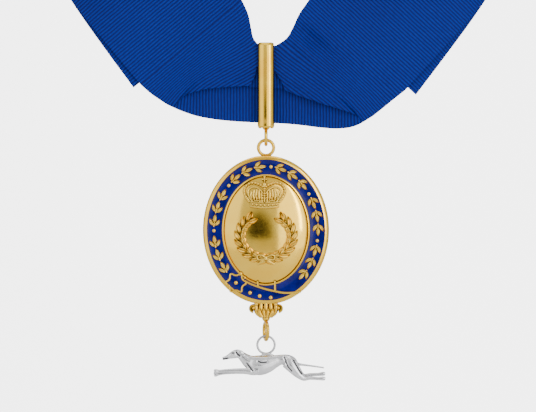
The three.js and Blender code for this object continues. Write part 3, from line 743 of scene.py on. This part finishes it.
def bar_section(half, front, back, steps=24):
    """Outline of the bar's face in plan: a round front, a narrow edge and a flat back."""
    edge = back - 0.25
    turns = np.linspace(0, math.pi, steps + 1)
    arc = [(-half * math.cos(t), edge - (edge - front) * math.sin(t)) for t in turns]
    return arc + [(half, back), (-half, back)]


def bar_face():
    """The rounded front plate, softly domed at its top and flared with a lobed edge at its foot."""
    levels = [(0.0, 0.72, 0.35), (-0.15, 0.86, 0.62), (-0.5, 0.96, 0.85), (-1.1, 1.0, 1.0),
              (-24.5, 1.0, 1.0), (-25.6, 1.0, 1.0), (-26.3, 1.03, 1.05), (-27.2, 1.06, 1.12),
              (-27.9, 1.05, 1.1), (-28.3, 0.97, 0.9)]
    depth = SLOT_FRONT + BAR_FRONT
    rows = []
    for level, wide, deep in levels:
        section = bar_section(BAR_HALF * wide, SLOT_FRONT - depth * deep, SLOT_FRONT)
        rows.append([(x, y, level) for x, y in section])
    return body_of_rows(rows)


def box_shape(low, high, soft=0.25):
    """A block with its edges cut back a little."""
    bm = bmesh.new()
    bmesh.ops.create_cube(bm, size=1.0)
    for v in bm.verts:
        v.co = Vector([(a + b) / 2 + c * (b - a) for a, b, c in zip(low, high, v.co)])
    bmesh.ops.bevel(bm, geom=bm.edges[:], offset=soft, segments=2, affect="EDGES", profile=0.5)
    bm.verts.ensure_lookup_table()
    shape = Shape([tuple(v.co) for v in bm.verts], [tuple(v.index for v in f.verts) for f in bm.faces])
    bm.free()
    return shape


def suspension_bar():
    back = box_shape((-BAR_HALF, SLOT_BACK, -BAR_LENGTH), (BAR_HALF, BAR_BACK, 0), 0.35)
    top = box_shape((-2.2, SLOT_FRONT - 0.4, -0.8), (2.2, SLOT_BACK + 0.5, -0.05), 0.2)
    foot = box_shape((-2.3, SLOT_FRONT - 0.4, -BAR_LENGTH + 0.1), (2.3, SLOT_BACK + 0.5, -27.3), 0.2)
    nub = tube([(0, 0, -27.8), (0, 0, -28.5), (0, 0, -29.1)], [1.5, 1.25, 0.8], 18)
    lobes = [ball((x, -3.05 + 0.16 * x * x, -28.0), 0.72, 0.9) for x in (-1.95, -0.65, 0.65, 1.95)]
    eye = ring(EYE_RADIUS, EYE_WIRE, (0, 0, EYE_Z), edge_on=True)
    shape = joined(bar_face(), back, top, foot, nub, *lobes, eye)
    return make_piece("suspension_bar_gilt", shape, GILT, "neckwear", ["suspension_bar"], 35)


# ---- Badge --------------------------------------------------------------------------------------
HALF_W, HALF_H = 21.0, 24.8
RIM, BELT, INNER = 1.15, 5.0, 0.65
FACE, BACK_FACE = -1.9, 1.5
WELL = (HALF_W - RIM - BELT - INNER, HALF_H - RIM - BELT - INNER)
DOME_EDGE, DOME_RISE = 1.15, 2.75
PIVOT_Z = EYE_Z - EYE_RADIUS + EYE_WIRE + 0.57 + 0.3
TOP_RADIUS, TOP_WIRE = 2.55, 0.57
LOOP_RADIUS, LOOP_WIRE, LOOP_Z = 2.95, 0.6, -96.1
LOOP_TURN = 12           # degrees that the lower loop is turned from edge on


def on_badge(shape):
    return shape.moved(0, OVAL_Y, OVAL_Z)


def oval_sweep(half_w, half_h, profile, steps=160):
    """A closed profile of (outward, y) points carried round an oval."""
    rows = []
    for t in circle_angles(steps):
        x, z = half_w * math.cos(t), half_h * math.sin(t)
        nx, nz = half_h * math.cos(t), half_w * math.sin(t)
        size = math.hypot(nx, nz)
        rows.append([(x + out * nx / size, y, z + out * nz / size) for out, y in profile])
    return body_of_rows(rows, True)


def oval(half_w, half_h, y, steps):
    return [(half_w * math.cos(t), y, half_h * math.sin(t)) for t in circle_angles(steps)]


def leaning_rim(left, right, front, back, fall, steps=8):
    """Profile of a rim whose rounded face falls away outwards."""
    points = [(left, back), (left, front + 0.12)]
    for i in range(steps + 1):
        t = i / steps
        points.append((left + 0.1 + (right - left - 0.1) * t, front + fall * (0.55 * t + 0.45 * t ** 3)))
    return points + [(right, back)]


def oval_disc(half_w, half_h, front, back, steps=160, soft=0.25):
    edge = [(soft, front), (0.0, front + soft), (0.0, back - soft), (soft, back)]
    return body_of_rows([oval(half_w - inset, half_h - inset, y, steps) for inset, y in edge])


def dome_depth(x, z):
    """How far the polished dome stands before the oval's middle plane."""
    r2 = min((x / WELL[0]) ** 2 + (z / WELL[1]) ** 2, 1.0)
    return DOME_EDGE + DOME_RISE * (1 - r2) ** 0.75


def dome_shape(rings=28, steps=128):
    rows = []
    for i in range(1, rings + 1):
        r = math.sin(math.pi / 2 * i / rings)
        rows.append([(x, -dome_depth(x, z), z) for x, _, z in oval(WELL[0] * r, WELL[1] * r, 0, steps)])
    rows.append(oval(*WELL, 0.2, steps))
    return body_from_tip((0.0, -dome_depth(0, 0), 0.0), rows)


def leaf(x, z, angle, length, width, height, depth, bend=0.0):
    """A pointed leaf with a sunk midrib, lying on a surface given by its depth before the plane."""
    stations = [(0.0, 0.12), (0.15, 0.55), (0.35, 0.95), (0.55, 1.0), (0.75, 0.72), (0.9, 0.36), (1.0, 0.03)]
    section = [(-1.0, -0.25), (-0.55, 1.0), (0.0, 0.45), (0.55, 1.0), (1.0, -0.25)]
    rows = []
    for u, wide in stations:
        turn, heading = angle + bend * u, angle + bend * u / 2
        cx, cz = x + u * length * math.cos(heading), z + u * length * math.sin(heading)
        half = wide * width / 2
        row = []
        for v, up in section:
            px, pz = cx - v * half * math.sin(turn), cz + v * half * math.cos(turn)
            row.append((px, -(depth(px, pz) + height * up * (0.45 + 0.55 * wide)), pz))
        rows.append(row)
    return body_of_rows(rows)


def belt_depth(_x, _z):
    return -ENAMEL_FACE - 0.05


STRAP_EDGE = [(-7.2, -16.9), (-5, -18), (-2.6, -18.9), (0, -19.7), (3, -20.4), (5.8, -20.9),
              (8.6, -20.9), (11.6, -20.5)]
KEEPERS = [[(-2.8, -17.0), (-2.6, -18.9)], [(3, -16.9), (3.05, -20.3)]]
BUCKLE = (-10.0, -17.6)
BUCKLE_TIP, BUCKLE_NOTCH, BUCKLE_POINTS = 3.4, 2.5, 6
BUCKLE_KNOBS = [(-8.4, -14.6, 0.62), (-7.0, -15.9, 0.5)]     # x, z, radius
STRAP_DOTS = [(-5.3, -20.9), (-2.1, -22.0), (1.6, -22.5)]


def on_face(points, lift=0.0):
    return [(x, ENAMEL_FACE - lift, z) for x, z in points]


def smooth_line(points, steps=8):
    """Places on a smooth curve through points, steps to each stretch."""
    keys = np.column_stack([np.arange(len(points)), np.asarray(points, float)])
    return smooth_path(keys, np.linspace(0, len(points) - 1, (len(points) - 1) * steps + 1))


def edge_line(points, width, closed=False):
    """A gilt line between the enamel fields."""
    return tube(on_face(points), width / 2, 8, 1.3, loop=closed)


def buckle_points(grow=0.0, count=72):
    points = []
    for i in range(count):
        turn = 2 * math.pi * i / count + 0.35
        wave = (1 + math.cos(BUCKLE_POINTS * turn)) / 2
        radius = BUCKLE_NOTCH + (BUCKLE_TIP - BUCKLE_NOTCH) * wave ** 1.6 + grow
        points.append((BUCKLE[0] + radius * math.cos(turn), BUCKLE[1] + radius * math.sin(turn)))
    return points


def belt_lines():
    """The strap's edge, the keepers and the buckle, with their dots and knobs."""
    lines = [edge_line(smooth_line(STRAP_EDGE, 10), 0.85), edge_line(buckle_points(), 0.7, closed=True)]
    lines += [edge_line(smooth_line(keeper, 4), 0.8) for keeper in KEEPERS]
    dots = [ball((x, ENAMEL_FACE - 0.05, z), 0.68, 0.6) for x, z in STRAP_DOTS + [BUCKLE]]
    knobs = [ball((x, ENAMEL_FACE - 0.1, z), size, 0.8) for x, z, size in BUCKLE_KNOBS]
    return joined(*lines, *dots, *knobs)


BELT_MIDDLE = (HALF_W - RIM - BELT / 2, HALF_H - RIM - BELT / 2)
BELT_START, BELT_END = math.radians(222), math.radians(-52)
SPRIG_GROUPS, SPRIGS_IN_GROUP = 6, 3


def belt_place(part):
    """Place and heading on the belt's middle line, evenly by length, clockwise from the buckle."""
    turns = np.linspace(BELT_START, BELT_END, 400)
    points = np.column_stack([BELT_MIDDLE[0] * np.cos(turns), BELT_MIDDLE[1] * np.sin(turns)])
    lengths = np.concatenate([[0], np.cumsum(np.linalg.norm(np.diff(points, axis=0), axis=1))])
    at = part * lengths[-1]
    x, z = (np.interp(at, lengths, points[:, k]) for k in range(2))
    ahead = [np.interp(at + 0.1, lengths, points[:, k]) for k in range(2)]
    behind = [np.interp(at - 0.1, lengths, points[:, k]) for k in range(2)]
    return float(x), float(z), math.atan2(ahead[1] - behind[1], ahead[0] - behind[0])


def belt_sprigs():
    """Leaf sprigs round the belt in groups, with a dot between two groups."""
    shape = Shape()
    dot_share = 0.55
    total = SPRIG_GROUPS * SPRIGS_IN_GROUP + (SPRIG_GROUPS - 1) * dot_share
    at = 0.5
    for group in range(SPRIG_GROUPS):
        for _ in range(SPRIGS_IN_GROUP):
            x, z, heading = belt_place(at / total)
            shape.add(sprig(x, z, heading))
            at += 1
        if group < SPRIG_GROUPS - 1:
            x, z, _ = belt_place((at - 0.5 + dot_share / 2) / total)
            shape.add(ball((x, ENAMEL_FACE, z), 0.62, 0.6))
            at += dot_share
    return shape


def sprig(x, z, heading):
    """Three broad leaves from one short stalk."""
    ahead = np.array([math.cos(heading), math.sin(heading)])
    rx, rz = np.array([x, z]) - 1.85 * ahead
    parts = [leaf(rx + 0.8 * ahead[0], rz + 0.8 * ahead[1], heading, 3.1, 1.8, 0.5, belt_depth)]
    for side in (-1, 1):
        parts.append(leaf(rx, rz, heading + side * 1.0, 2.9, 1.65, 0.48, belt_depth, -side * 0.75))
    stalk = [(rx + t * ahead[0], ENAMEL_FACE - 0.12, rz + t * ahead[1]) for t in (-0.35, 0.4, 1.2)]
    parts.append(tube(stalk, [0.26, 0.2, 0.16], 8))
    return joined(*parts)


def on_dome(points, lift):
    return [(x, -(dome_depth(x, z) + lift), z) for x, z in points]


def dome_ball(x, z, radius, lift=0.1, flat=0.8):
    return ball((x, -(dome_depth(x, z) + lift), z), radius, flat, 6, 10)


CROWN_X = -0.5
CROWN_OUTER_ARCH = [(4.9, 9.3), (6.3, 11.3), (6.8, 13.2), (5.9, 15.0), (3.9, 15.8), (1.9, 15.3), (0.3, 14.4)]
CROWN_INNER_ARCH = [(4.0, 9.4), (5.2, 11.3), (5.5, 12.9), (4.6, 14.0), (3.2, 14.3), (1.6, 13.6), (0.4, 12.2)]


def crown():
    """An arched crown in relief: jewelled band, crosses and leaves, beaded arches, orb and cross."""
    parts = []

    def bar(points, lift, radius, side=1, flat=1.0, sides=8):
        parts.append(tube(on_dome([(CROWN_X + side * x, z) for x, z in points], lift), radius, sides, flat))

    def beads(points, radius, lift):
        parts.extend(dome_ball(CROWN_X + x, z, radius, lift) for x, z in points)

    band = [(x, 7.55 + 0.02 * x * x) for x in np.linspace(-4.7, 4.7, 25)]
    for rise, lift, radius, flat in ((0, 0.15, 0.42, 1), (0.75, 0.05, 0.55, 0.6), (1.45, 0.15, 0.3, 1)):
        bar([(x, z + rise) for x, z in band], lift, radius, 1, flat, 10)
    beads([(x, 8.3 + 0.02 * x * x) for x in np.linspace(-4, 4, 7)], 0.42, 0.5)
    outer = smooth_line(CROWN_OUTER_ARCH)
    for side in (-1, 1):
        bar(outer, 0.25, 0.4, side)
        bar(smooth_line(CROWN_INNER_ARCH), 0.2, 0.3, side)
        beads([(side * x, z) for x, z in outer[3::4]], 0.43, 0.62)
        parts.append(fleur(CROWN_X + side * 2.55, 9.4, 2.3))
        parts.append(cross_shape(CROWN_X + side * 4.9, 10.6, 1.6))
    for x in np.linspace(-4.6, 4.6, 11):
        top = 13.5 - 0.18 * (abs(x) - 2.6) ** 2
        bar(smooth_line([(x * 0.86, 9.3), (x, 11.4), (x * 0.93, top)]), -0.1, 0.42, 1, 0.9)
    post = [(0, z) for z in np.linspace(9.4, 14.6, 14)]
    bar(post, 0.35, 0.36)
    beads(post[3::2], 0.42, 0.7)
    beads([(0, 15.1)], 0.85, 0.4)
    parts += [cross_shape(CROWN_X, 10.7, 1.9), cross_shape(CROWN_X, 16.9, 1.7)]
    make_piece("crown_gilt", on_badge(joined(*parts)), SATIN_GILT, "pendant", ["crown"], 50)


def cross_shape(x, z, size):
    """A small cross whose arms widen outwards."""
    parts = [dome_ball(x, z, size * 0.2, 0.45)]
    for quarter in range(4):
        turn = quarter * math.pi / 2
        end = (x + size * 0.5 * math.cos(turn), z + size * 0.5 * math.sin(turn))
        path = [(x + (end[0] - x) * t, z + (end[1] - z) * t) for t in (0.1, 0.55, 1.0)]
        parts.append(tube(on_dome(path, 0.35), [size * 0.1, size * 0.14, size * 0.27], 8, 0.8))
    return joined(*parts)


def fleur(x, z, size):
    """A small upright three-leaved flower."""
    parts = [leaf(x, z, math.pi / 2, size, size * 0.5, 0.45, dome_depth)]
    for lean in (-0.9, 0.9):
        parts.append(leaf(x, z + 0.15 * size, math.pi / 2 - lean, size * 0.75, size * 0.4, 0.4, dome_depth,
                          -lean))
    parts.append(tube(on_dome([(x - size * 0.35, z + 0.3), (x + size * 0.35, z + 0.3)], 0.4), 0.2, 8))
    return joined(*parts)


WREATH_W, WREATH_H, WREATH_Z = 8.4, 7.2, -2.2
WREATH_START, WREATH_END, WREATH_LEAVES = math.radians(-104), math.radians(48), 9


def wreath():
    """Two laurel branches tied below and open at the top."""
    parts = [dome_ball(0, -9.4, 0.75, 0.5)]
    angles = np.linspace(WREATH_START, WREATH_END, 40)
    for side in (-1, 1):
        stem = [(side * WREATH_W * math.cos(t), WREATH_Z + WREATH_H * math.sin(t)) for t in angles]
        parts.append(tube(on_dome(stem, 0.15), np.linspace(0.34, 0.16, len(stem)), 8))
        for i in range(WREATH_LEAVES):
            t = WREATH_START + (WREATH_END - WREATH_START) * (i + 0.6) / WREATH_LEAVES
            x, z = side * WREATH_W * math.cos(t), WREATH_Z + WREATH_H * math.sin(t)
            heading = math.atan2(WREATH_H * math.cos(t), -side * WREATH_W * math.sin(t))
            for lean in (-0.62, 0.62):
                parts.append(leaf(x, z, heading + lean, 3.9, 2.1, 0.75, dome_depth, -lean * 0.7))
            if i % 2:
                out = heading + side * 1.4
                parts.append(dome_ball(x + 0.9 * math.cos(out), z + 0.9 * math.sin(out), 0.4, 0.3))
        parts.append(leaf(*stem[-1], math.pi / 2 + side * 0.35, 3.0, 1.5, 0.6, dome_depth))
        bow = smooth_line([(0, -9.3), (side * 1.6, -8.3), (side * 2.9, -8.7), (side * 2.4, -9.9), (0, -9.4)])
        parts.append(tube(on_dome(bow, 0.45), 0.3, 8))
        tail = smooth_line([(0, -9.5), (side * 1.3, -10.6), (side * 2.9, -11.4)])
        parts.append(tube(on_dome(tail, 0.3), 0.32, 8, 0.7))
    make_piece("wreath_gilt", on_badge(joined(*parts)), SATIN_GILT, "pendant", ["wreath"], 50)


def finial():
    """Fluted leaves below the oval, with a scroll on each side."""
    parts = [ball((0, -0.6, -29.3), 1.35), tube([(0, -0.3, -29.3), (0, -0.1, -30.6)], [0.95, 0.6], 12)]
    for k in (-2, -1, 0, 1, 2):
        path = smooth_line([(k * 1.5, -24.2), (k * 1.65, -25.8), (k * 1.42, -27.5), (k * 0.75, -29.0)], 5)
        radii = np.interp(np.linspace(0, 1, len(path)), [0, 0.35, 0.7, 1], [0.7, 0.95, 0.9, 0.6])
        parts.append(tube([(x, -0.6 + 0.12 * abs(k), z) for x, z in path], radii, 12, 1.3))
    for k in (-1.5, -0.5, 0.5, 1.5):
        path = smooth_line([(k * 1.5, -26.2), (k * 1.35, -27.6), (k * 0.75, -29.1)], 5)
        radii = np.interp(np.linspace(0, 1, len(path)), [0, 0.4, 1], [0.25, 0.75, 0.5])
        parts.append(tube([(x, -1.75, z) for x, z in path], radii, 10))
    curl = list(zip(np.linspace(-0.5 * math.pi, 1.25 * math.pi, 24), np.linspace(1.15, 0.55, 24)))
    for side in (-1, 1):
        scroll = [(side * (4.15 + r * math.cos(t)), -0.6, -26.0 + r * math.sin(t)) for t, r in curl]
        parts.append(tube(scroll, np.linspace(0.66, 0.48, len(curl)), 10, 1.4))
        parts.append(ball((side * 4.15, -1.0, -26.0), 0.62, 1.6))
        parts.append(ball((side * 3.2, -0.5, -24.8), 0.9, 1.4))
    return joined(*parts)


def badge_frame():
    """Back plate, rims, belt edges, rings and finial: the gilt body."""
    middle = (HALF_W - RIM / 2, HALF_H - RIM / 2)
    inner = (WELL[0] + INNER / 2, WELL[1] + INNER / 2)
    parts = [
        oval_disc(HALF_W - 0.4, HALF_H - 0.4, -0.4, BACK_FACE),
        oval_sweep(*middle, leaning_rim(-RIM / 2 - 0.25, RIM / 2 + 0.05, FACE, BACK_FACE - 0.2, 0.75)),
        oval_sweep(*inner, leaning_rim(-INNER / 2 - 0.1, INNER / 2, FACE, 0.2, 0.4)),
        belt_lines(),
        finial(),
    ]
    shape = on_badge(joined(*parts))
    shape.add(ring(TOP_RADIUS, TOP_WIRE, (0, 0, PIVOT_Z - TOP_RADIUS)))
    shape.add(ring(LOOP_RADIUS, LOOP_WIRE, (0, 0, 0), edge_on=True).turned(LOOP_TURN).moved(0, 0, LOOP_Z))
    return make_piece("badge_frame_gilt", shape, GILT, "pendant", ["badge_frame"], 40)


def badge_fields():
    half = BELT / 2 + 0.1
    profile = [(-half, -0.3), (-half, ENAMEL_FACE - 0.1), (-half + 0.5, ENAMEL_FACE), (0, ENAMEL_FACE + 0.05),
               (half - 0.5, ENAMEL_FACE), (half, ENAMEL_FACE - 0.1), (half, -0.3)]
    field = on_badge(oval_sweep(*BELT_MIDDLE, profile))
    make_piece("enamel_fields", field, ENAMEL, "pendant",
               ["belt_enamel", "buckle_enamel", "strap_end_enamel", "keeper_enamel"], 40)
    make_piece("belt_sprigs", on_badge(belt_sprigs()), SATIN_GILT, "pendant", (), 50)
    make_piece("medallion_dome", on_badge(dome_shape()), POLISHED, "pendant",
               ["medallion"], 60)


# ---- Greyhound ----------------------------------------------------------------------------------
HOUND_RADIUS, HOUND_WIRE = 2.9, 0.28
HOUND_RING_LOOK = 0.38   # the ring is drawn a little stouter than the wire that clears the loop
HOUND_RING_Z = LOOP_Z - LOOP_RADIUS + LOOP_WIRE + HOUND_WIRE + 0.3 - HOUND_RADIUS
BACK_LINE = HOUND_RING_Z - HOUND_RADIUS - 0.35
# Stations: x, y, height above the back line, half height, half width.
TRUNK = [(-6.3, 0, -2.6, 1.6, 0.9), (-4.9, 0, -3.1, 2.9, 1.5), (-3.2, 0, -3.5, 3.35, 1.8),
         (-1.4, 0, -3.5, 3.4, 1.9), (0.8, 0, -3.0, 2.95, 1.7), (3.2, 0, -2.2, 2.15, 1.4),
         (5.0, 0, -1.7, 1.75, 1.2), (6.8, 0, -1.9, 2.0, 1.5), (8.4, 0, -2.6, 2.1, 1.6),
         (9.8, 0, -3.7, 1.4, 1.05)]
NECK = [(-4.0, 0, -2.9, 2.5, 1.3), (-5.7, 0, -2.3, 2.3, 1.2), (-7.1, 0, -1.25, 1.8, 1.05),
        (-8.4, 0, -0.2, 1.4, 0.95), (-9.4, 0, 0.35, 1.15, 0.9)]
HEAD = [(-8.0, 0, 0.25, 0.9, 0.7), (-9.2, 0, 0.35, 1.4, 1.05), (-10.4, 0, 0.1, 1.45, 1.05),
        (-11.5, 0, -0.3, 1.15, 0.85), (-12.5, 0, -0.75, 0.82, 0.64), (-13.6, 0, -1.15, 0.62, 0.54),
        (-14.5, 0, -1.35, 0.55, 0.46)]
TAIL = [(9.2, 0, -2.8, 0.9, 0.75), (10.8, 0, -3.2, 0.5, 0.48), (13.0, 0, -3.5, 0.38, 0.38),
        (16.0, 0, -3.9, 0.33, 0.33), (19.4, 0, -4.4, 0.3, 0.3)]
SADDLE = [(-1.6, 0, -0.5, 0.4, 0.4), (-0.5, 0, 0.1, 0.5, 0.5), (1.1, 0, 0.1, 0.5, 0.5),
          (2.4, 0, -0.4, 0.4, 0.4)]
GROOVE_HALF, GROOVE_DEPTH = 0.36, 0.28
# Grooves round the muscles, cut in both flanks and darkened by painted shade: x and height above the back
# line.
GROOVES = [
    [(-6.4, -2.9), (-5.5, -4.0), (-4.4, -5.4)],
    [(-2.6, -2.2), (-1.3, -2.7), (0.2, -2.5)],
    [(6.1, -0.9), (6.6, -2.3), (7.3, -4.0), (8.5, -5.4)],
    [(9.2, -1.9), (10.1, -3.4), (11.0, -5.0), (11.9, -6.3)],
    [(-11.2, 0.5), (-10.95, 0.55), (-10.7, 0.5)],
    [(-9.9, 0.75), (-9.5, 0.05), (-8.8, -0.45)],
    [(-14.4, -1.45), (-13.6, -1.4), (-12.8, -1.25)],
]


def fore_leg(y):
    """Stations of a fore leg, stretched forward; y is its side and how far it stands out."""
    return [(-2.6, y, -4.9, 2.0, 0.95), (-4.6, y, -5.6, 1.35, 0.85), (-7.2, y, -5.5 - 0.15 * y, 0.95, 0.7),
            (-10.4, y, -5.55 - 0.3 * y, 0.75, 0.6), (-13.6, y, -5.75 - 0.4 * y, 0.62, 0.56),
            (-15.6, y, -6.0 - 0.5 * y, 0.6, 0.54), (-16.7, y, -6.1 - 0.6 * y, 0.85, 0.66),
            (-17.4, y, -6.2 - 0.65 * y, 0.66, 0.55)]


def hind_leg(y):
    """Stations of a hind leg, stretched back."""
    return [(6.6, y * 0.9, -2.4, 2.0, 0.95), (8.4, y, -3.6, 2.25, 1.1), (10.2, y, -5.6 + 0.2 * y, 1.7, 0.95),
            (11.6, y, -7.0 + 0.3 * y, 1.15, 0.8), (12.8, y, -7.6 + 0.4 * y, 0.82, 0.66),
            (14.6, y, -7.3 + 0.55 * y, 0.62, 0.56), (17.4, y, -7.3 + 0.7 * y, 0.58, 0.54),
            (19.0, y, -7.2 + 0.8 * y, 0.7, 0.6), (19.8, y, -7.2 + 0.85 * y, 0.55, 0.48)]


def ear(side):
    """Stations of an ear laid back along the neck."""
    return [(-9.9, side * 0.95, 1.1, 0.4, 0.3), (-9.2, side * 1.15, 0.95, 0.7, 0.45),
            (-8.3, side * 1.25, 0.65, 0.7, 0.45), (-7.3, side * 1.2, 0.3, 0.35, 0.3)]


def loft(stations, steps=5, sides=14):
    """A closed body through oval stations, smoothed between them."""
    places = smooth_line(stations, steps)
    headings = np.gradient(places[:, [0, 2]], axis=0)
    headings /= np.linalg.norm(headings, axis=1)[:, None]
    rows = []
    for (x, y, z, high, wide), (hx, hz) in zip(places, headings):
        row = []
        for turn in circle_angles(sides):
            up = high * math.sin(turn)
            row.append((x - hz * up, y + wide * math.cos(turn), z + hx * up))
        rows.append(row)
    return body_of_rows(rows)


def apply_modifiers(obj):
    depsgraph = bpy.context.evaluated_depsgraph_get()
    mesh = bpy.data.meshes.new_from_object(obj.evaluated_get(depsgraph))
    obj.modifiers.clear()
    obj.data = mesh


def cut_grooves(obj):
    """Press the muscle lines into both flanks, and keep their depth on the mesh as the mask of painted shade.
    """
    lines = np.concatenate([smooth_line(keys, 6) for keys in GROOVES]) + (0, BACK_LINE)
    depths = np.zeros(len(obj.data.vertices))
    for i, vert in enumerate(obj.data.vertices):
        x, y, z = (np.array(vert.co) - ANCHOR) / MM
        if abs(y) > 0.3:
            gap = np.hypot(lines[:, 0] - x, lines[:, 1] - z).min()
            depths[i] = math.exp(-(gap / GROOVE_HALF) ** 2)
            vert.co.y -= math.copysign(GROOVE_DEPTH * depths[i], y) * MM
    # The pressed depth, stored as the mask that paints shade into the grooves.
    painted_shade_mask = obj.data.attributes.new("painted_shade_mask", "FLOAT", "POINT")
    painted_shade_mask.data.foreach_set("value", depths.astype(np.float32))


def greyhound():
    """The running greyhound, fused from its limbs, with its ring."""
    limbs = [TRUNK, NECK, HEAD, TAIL, SADDLE]
    for side in (-1, 1):
        limbs += [fore_leg(side * 0.8), hind_leg(side * 0.95), ear(side)]
    body = joined(*(loft(stations) for stations in limbs)).moved(0, 0, BACK_LINE)
    piece = make_piece("greyhound_silver", body, SILVER, "pendant", ["greyhound"], 60)
    remesh = piece.modifiers.new("fuse", "REMESH")
    remesh.mode = "VOXEL"
    remesh.voxel_size = 0.13 * MM
    soften = piece.modifiers.new("soften", "SMOOTH")
    soften.factor = 0.5
    soften.iterations = 3
    apply_modifiers(piece)
    cut_grooves(piece)
    wire = ring(HOUND_RADIUS, HOUND_RING_LOOK, (0, 0, HOUND_RING_Z), steps=64)
    # Painted shade on the ring: darker along the wire's inner and outer edges, lighter on its front and back.
    ring_edge_shade = [0.3 + 0.4 * abs(math.cos(turn)) for turn in circle_angles(len(wire.verts) // 64)]
    add_to_mesh(piece, wire, "painted_shade_mask", ring_edge_shade * 64)
    for polygon in piece.data.polygons:
        polygon.use_smooth = True


def add_to_mesh(obj, shape, attribute, values):
    """Join a plain shape into a finished mesh, with values for one of its attributes."""
    bm = bmesh.new()
    bm.from_mesh(obj.data)
    layer = bm.verts.layers.float[attribute]
    verts = [bm.verts.new(place) for place in world(shape.verts)]
    for vert, value in zip(verts, values):
        vert[layer] = value
    for face in shape.faces:
        bm.faces.new([verts[i] for i in face])
    bmesh.ops.recalc_face_normals(bm, faces=bm.faces[:])
    bm.to_mesh(obj.data)
    bm.free()


# ---- Stage --------------------------------------------------------------------------------------
PICTURE_WIDTH = 178.67                   # millimetres across the view, at the badge
PICTURE_CENTRE = (0.667, 0, -54.5)
CAMERA_FAR = 2.2                         # metres
SENSOR = 36


def add_camera():
    """A distant camera, square to the badge."""
    data = bpy.data.cameras.new("camera")
    data.sensor_width = SENSOR
    data.lens = SENSOR * CAMERA_FAR / (PICTURE_WIDTH * MM)
    data.clip_start, data.clip_end = 0.01, 50
    camera = bpy.data.objects.new("camera", data)
    camera.location = Vector(world(PICTURE_CENTRE)) + Vector((0, -CAMERA_FAR, 0))
    camera.rotation_euler = (math.pi / 2, 0, 0)
    bpy.context.scene.collection.objects.link(camera)
    bpy.context.scene.camera = camera


def add_panel(name, place, aim, size, power):
    """A soft white panel that shines on a point."""
    data = bpy.data.lights.new(name, "AREA")
    data.shape = "RECTANGLE"
    data.size, data.size_y = size
    data.energy = power
    light = bpy.data.objects.new(name, data)
    light.location = place
    light.rotation_euler = (aim - place).to_track_quat("-Z", "Y").to_euler()
    bpy.context.scene.collection.objects.link(light)


# Panels: place from the model's middle and size, in metres, and power.
PANELS = [
    ("left_panel", (-1.05, -1.15, 0.3), (1.1, 1.7), 5.2),
    ("right_panel", (0.75, -1.35, 0.15), (1.1, 1.7), 10.0),
    ("strip", (0.75, -1.1, 0.35), (0.12, 0.9), 2.6),
    ("top", (-0.1, -0.35, 1.2), (1.0, 0.6), 3.0),
]
FLOOR_BELOW, FLOOR_HALF = 0.28, 4.0      # metres
# Brightness all round: from behind the camera (0) through the sides (0.5) to behind the badge (1).
SURROUND = [(0.003, 0.006), (0.015, 0.17), (0.3, 0.17), (0.5, 0.13), (0.9, 0.18), (0.98, 0.45), (0.995, 1.0)]
SURROUND_STRENGTH = 5.0
DARK_AXIS = (0.10, 0.99, 0.03)           # the darkest part of the surround lies against this


def add_floor(x, y, z):
    """A pale floor, centred on a point."""
    corners = [(x + FLOOR_HALF * a, y + FLOOR_HALF * b, z) for a, b in ((-1, -1), (1, -1), (1, 1), (-1, 1))]
    mesh = bpy.data.meshes.new("floor")
    mesh.from_pydata(corners, [], [(0, 1, 2, 3)])
    floor = bpy.data.objects.new("floor", mesh)
    bpy.context.scene.collection.objects.link(floor)
    n = material_nodes("pale_paper")
    color = n.blend(n.noise(3, 2), (0.86, 0.86, 0.86, 1), (0.9, 0.9, 0.9, 1))
    mesh.materials.append(n.set(Base_Color=color, Roughness=0.9))


def add_surround():
    """Plain light from all round, brightest behind the badge."""
    n = Nodes(bpy.data.worlds.new("studio"), "Background")
    heading = n.new("ShaderNodeTexCoord").outputs["Generated"]
    along = n.new("ShaderNodeVectorMath", heading, Vector(DARK_AXIS).normalized(),
                  settings={"operation": "DOT_PRODUCT"})
    ramp = n.new("ShaderNodeValToRGB", n.ranged(along.outputs["Value"], -1, 1))
    stops = ramp.color_ramp.elements
    stops[0].position, stops[1].position = SURROUND[0][0], SURROUND[-1][0]
    for position, _ in SURROUND[1:-1]:
        stops.new(position)
    for stop, (_, level) in zip(stops, SURROUND):
        stop.color = (level, level, level, 1)
    bpy.context.scene.world = n.set(Color=ramp.outputs[0], Strength=SURROUND_STRENGTH)


def add_stage():
    """A pale floor well below the hanging badge, soft panels and a plain bright surround."""
    low, high = CAD_BOUNDS
    middle = (low + high) / 2
    add_floor(middle.x, middle.y, low.z - FLOOR_BELOW)
    for name, offset, size, power in PANELS:
        add_panel(name, middle + Vector(offset), middle, size, power)
    add_surround()


add_camera()
add_stage()
neck_ribbon()
ribbon_underlay()
suspension_bar()
badge_frame()
badge_fields()
crown()
wreath()
greyhound()
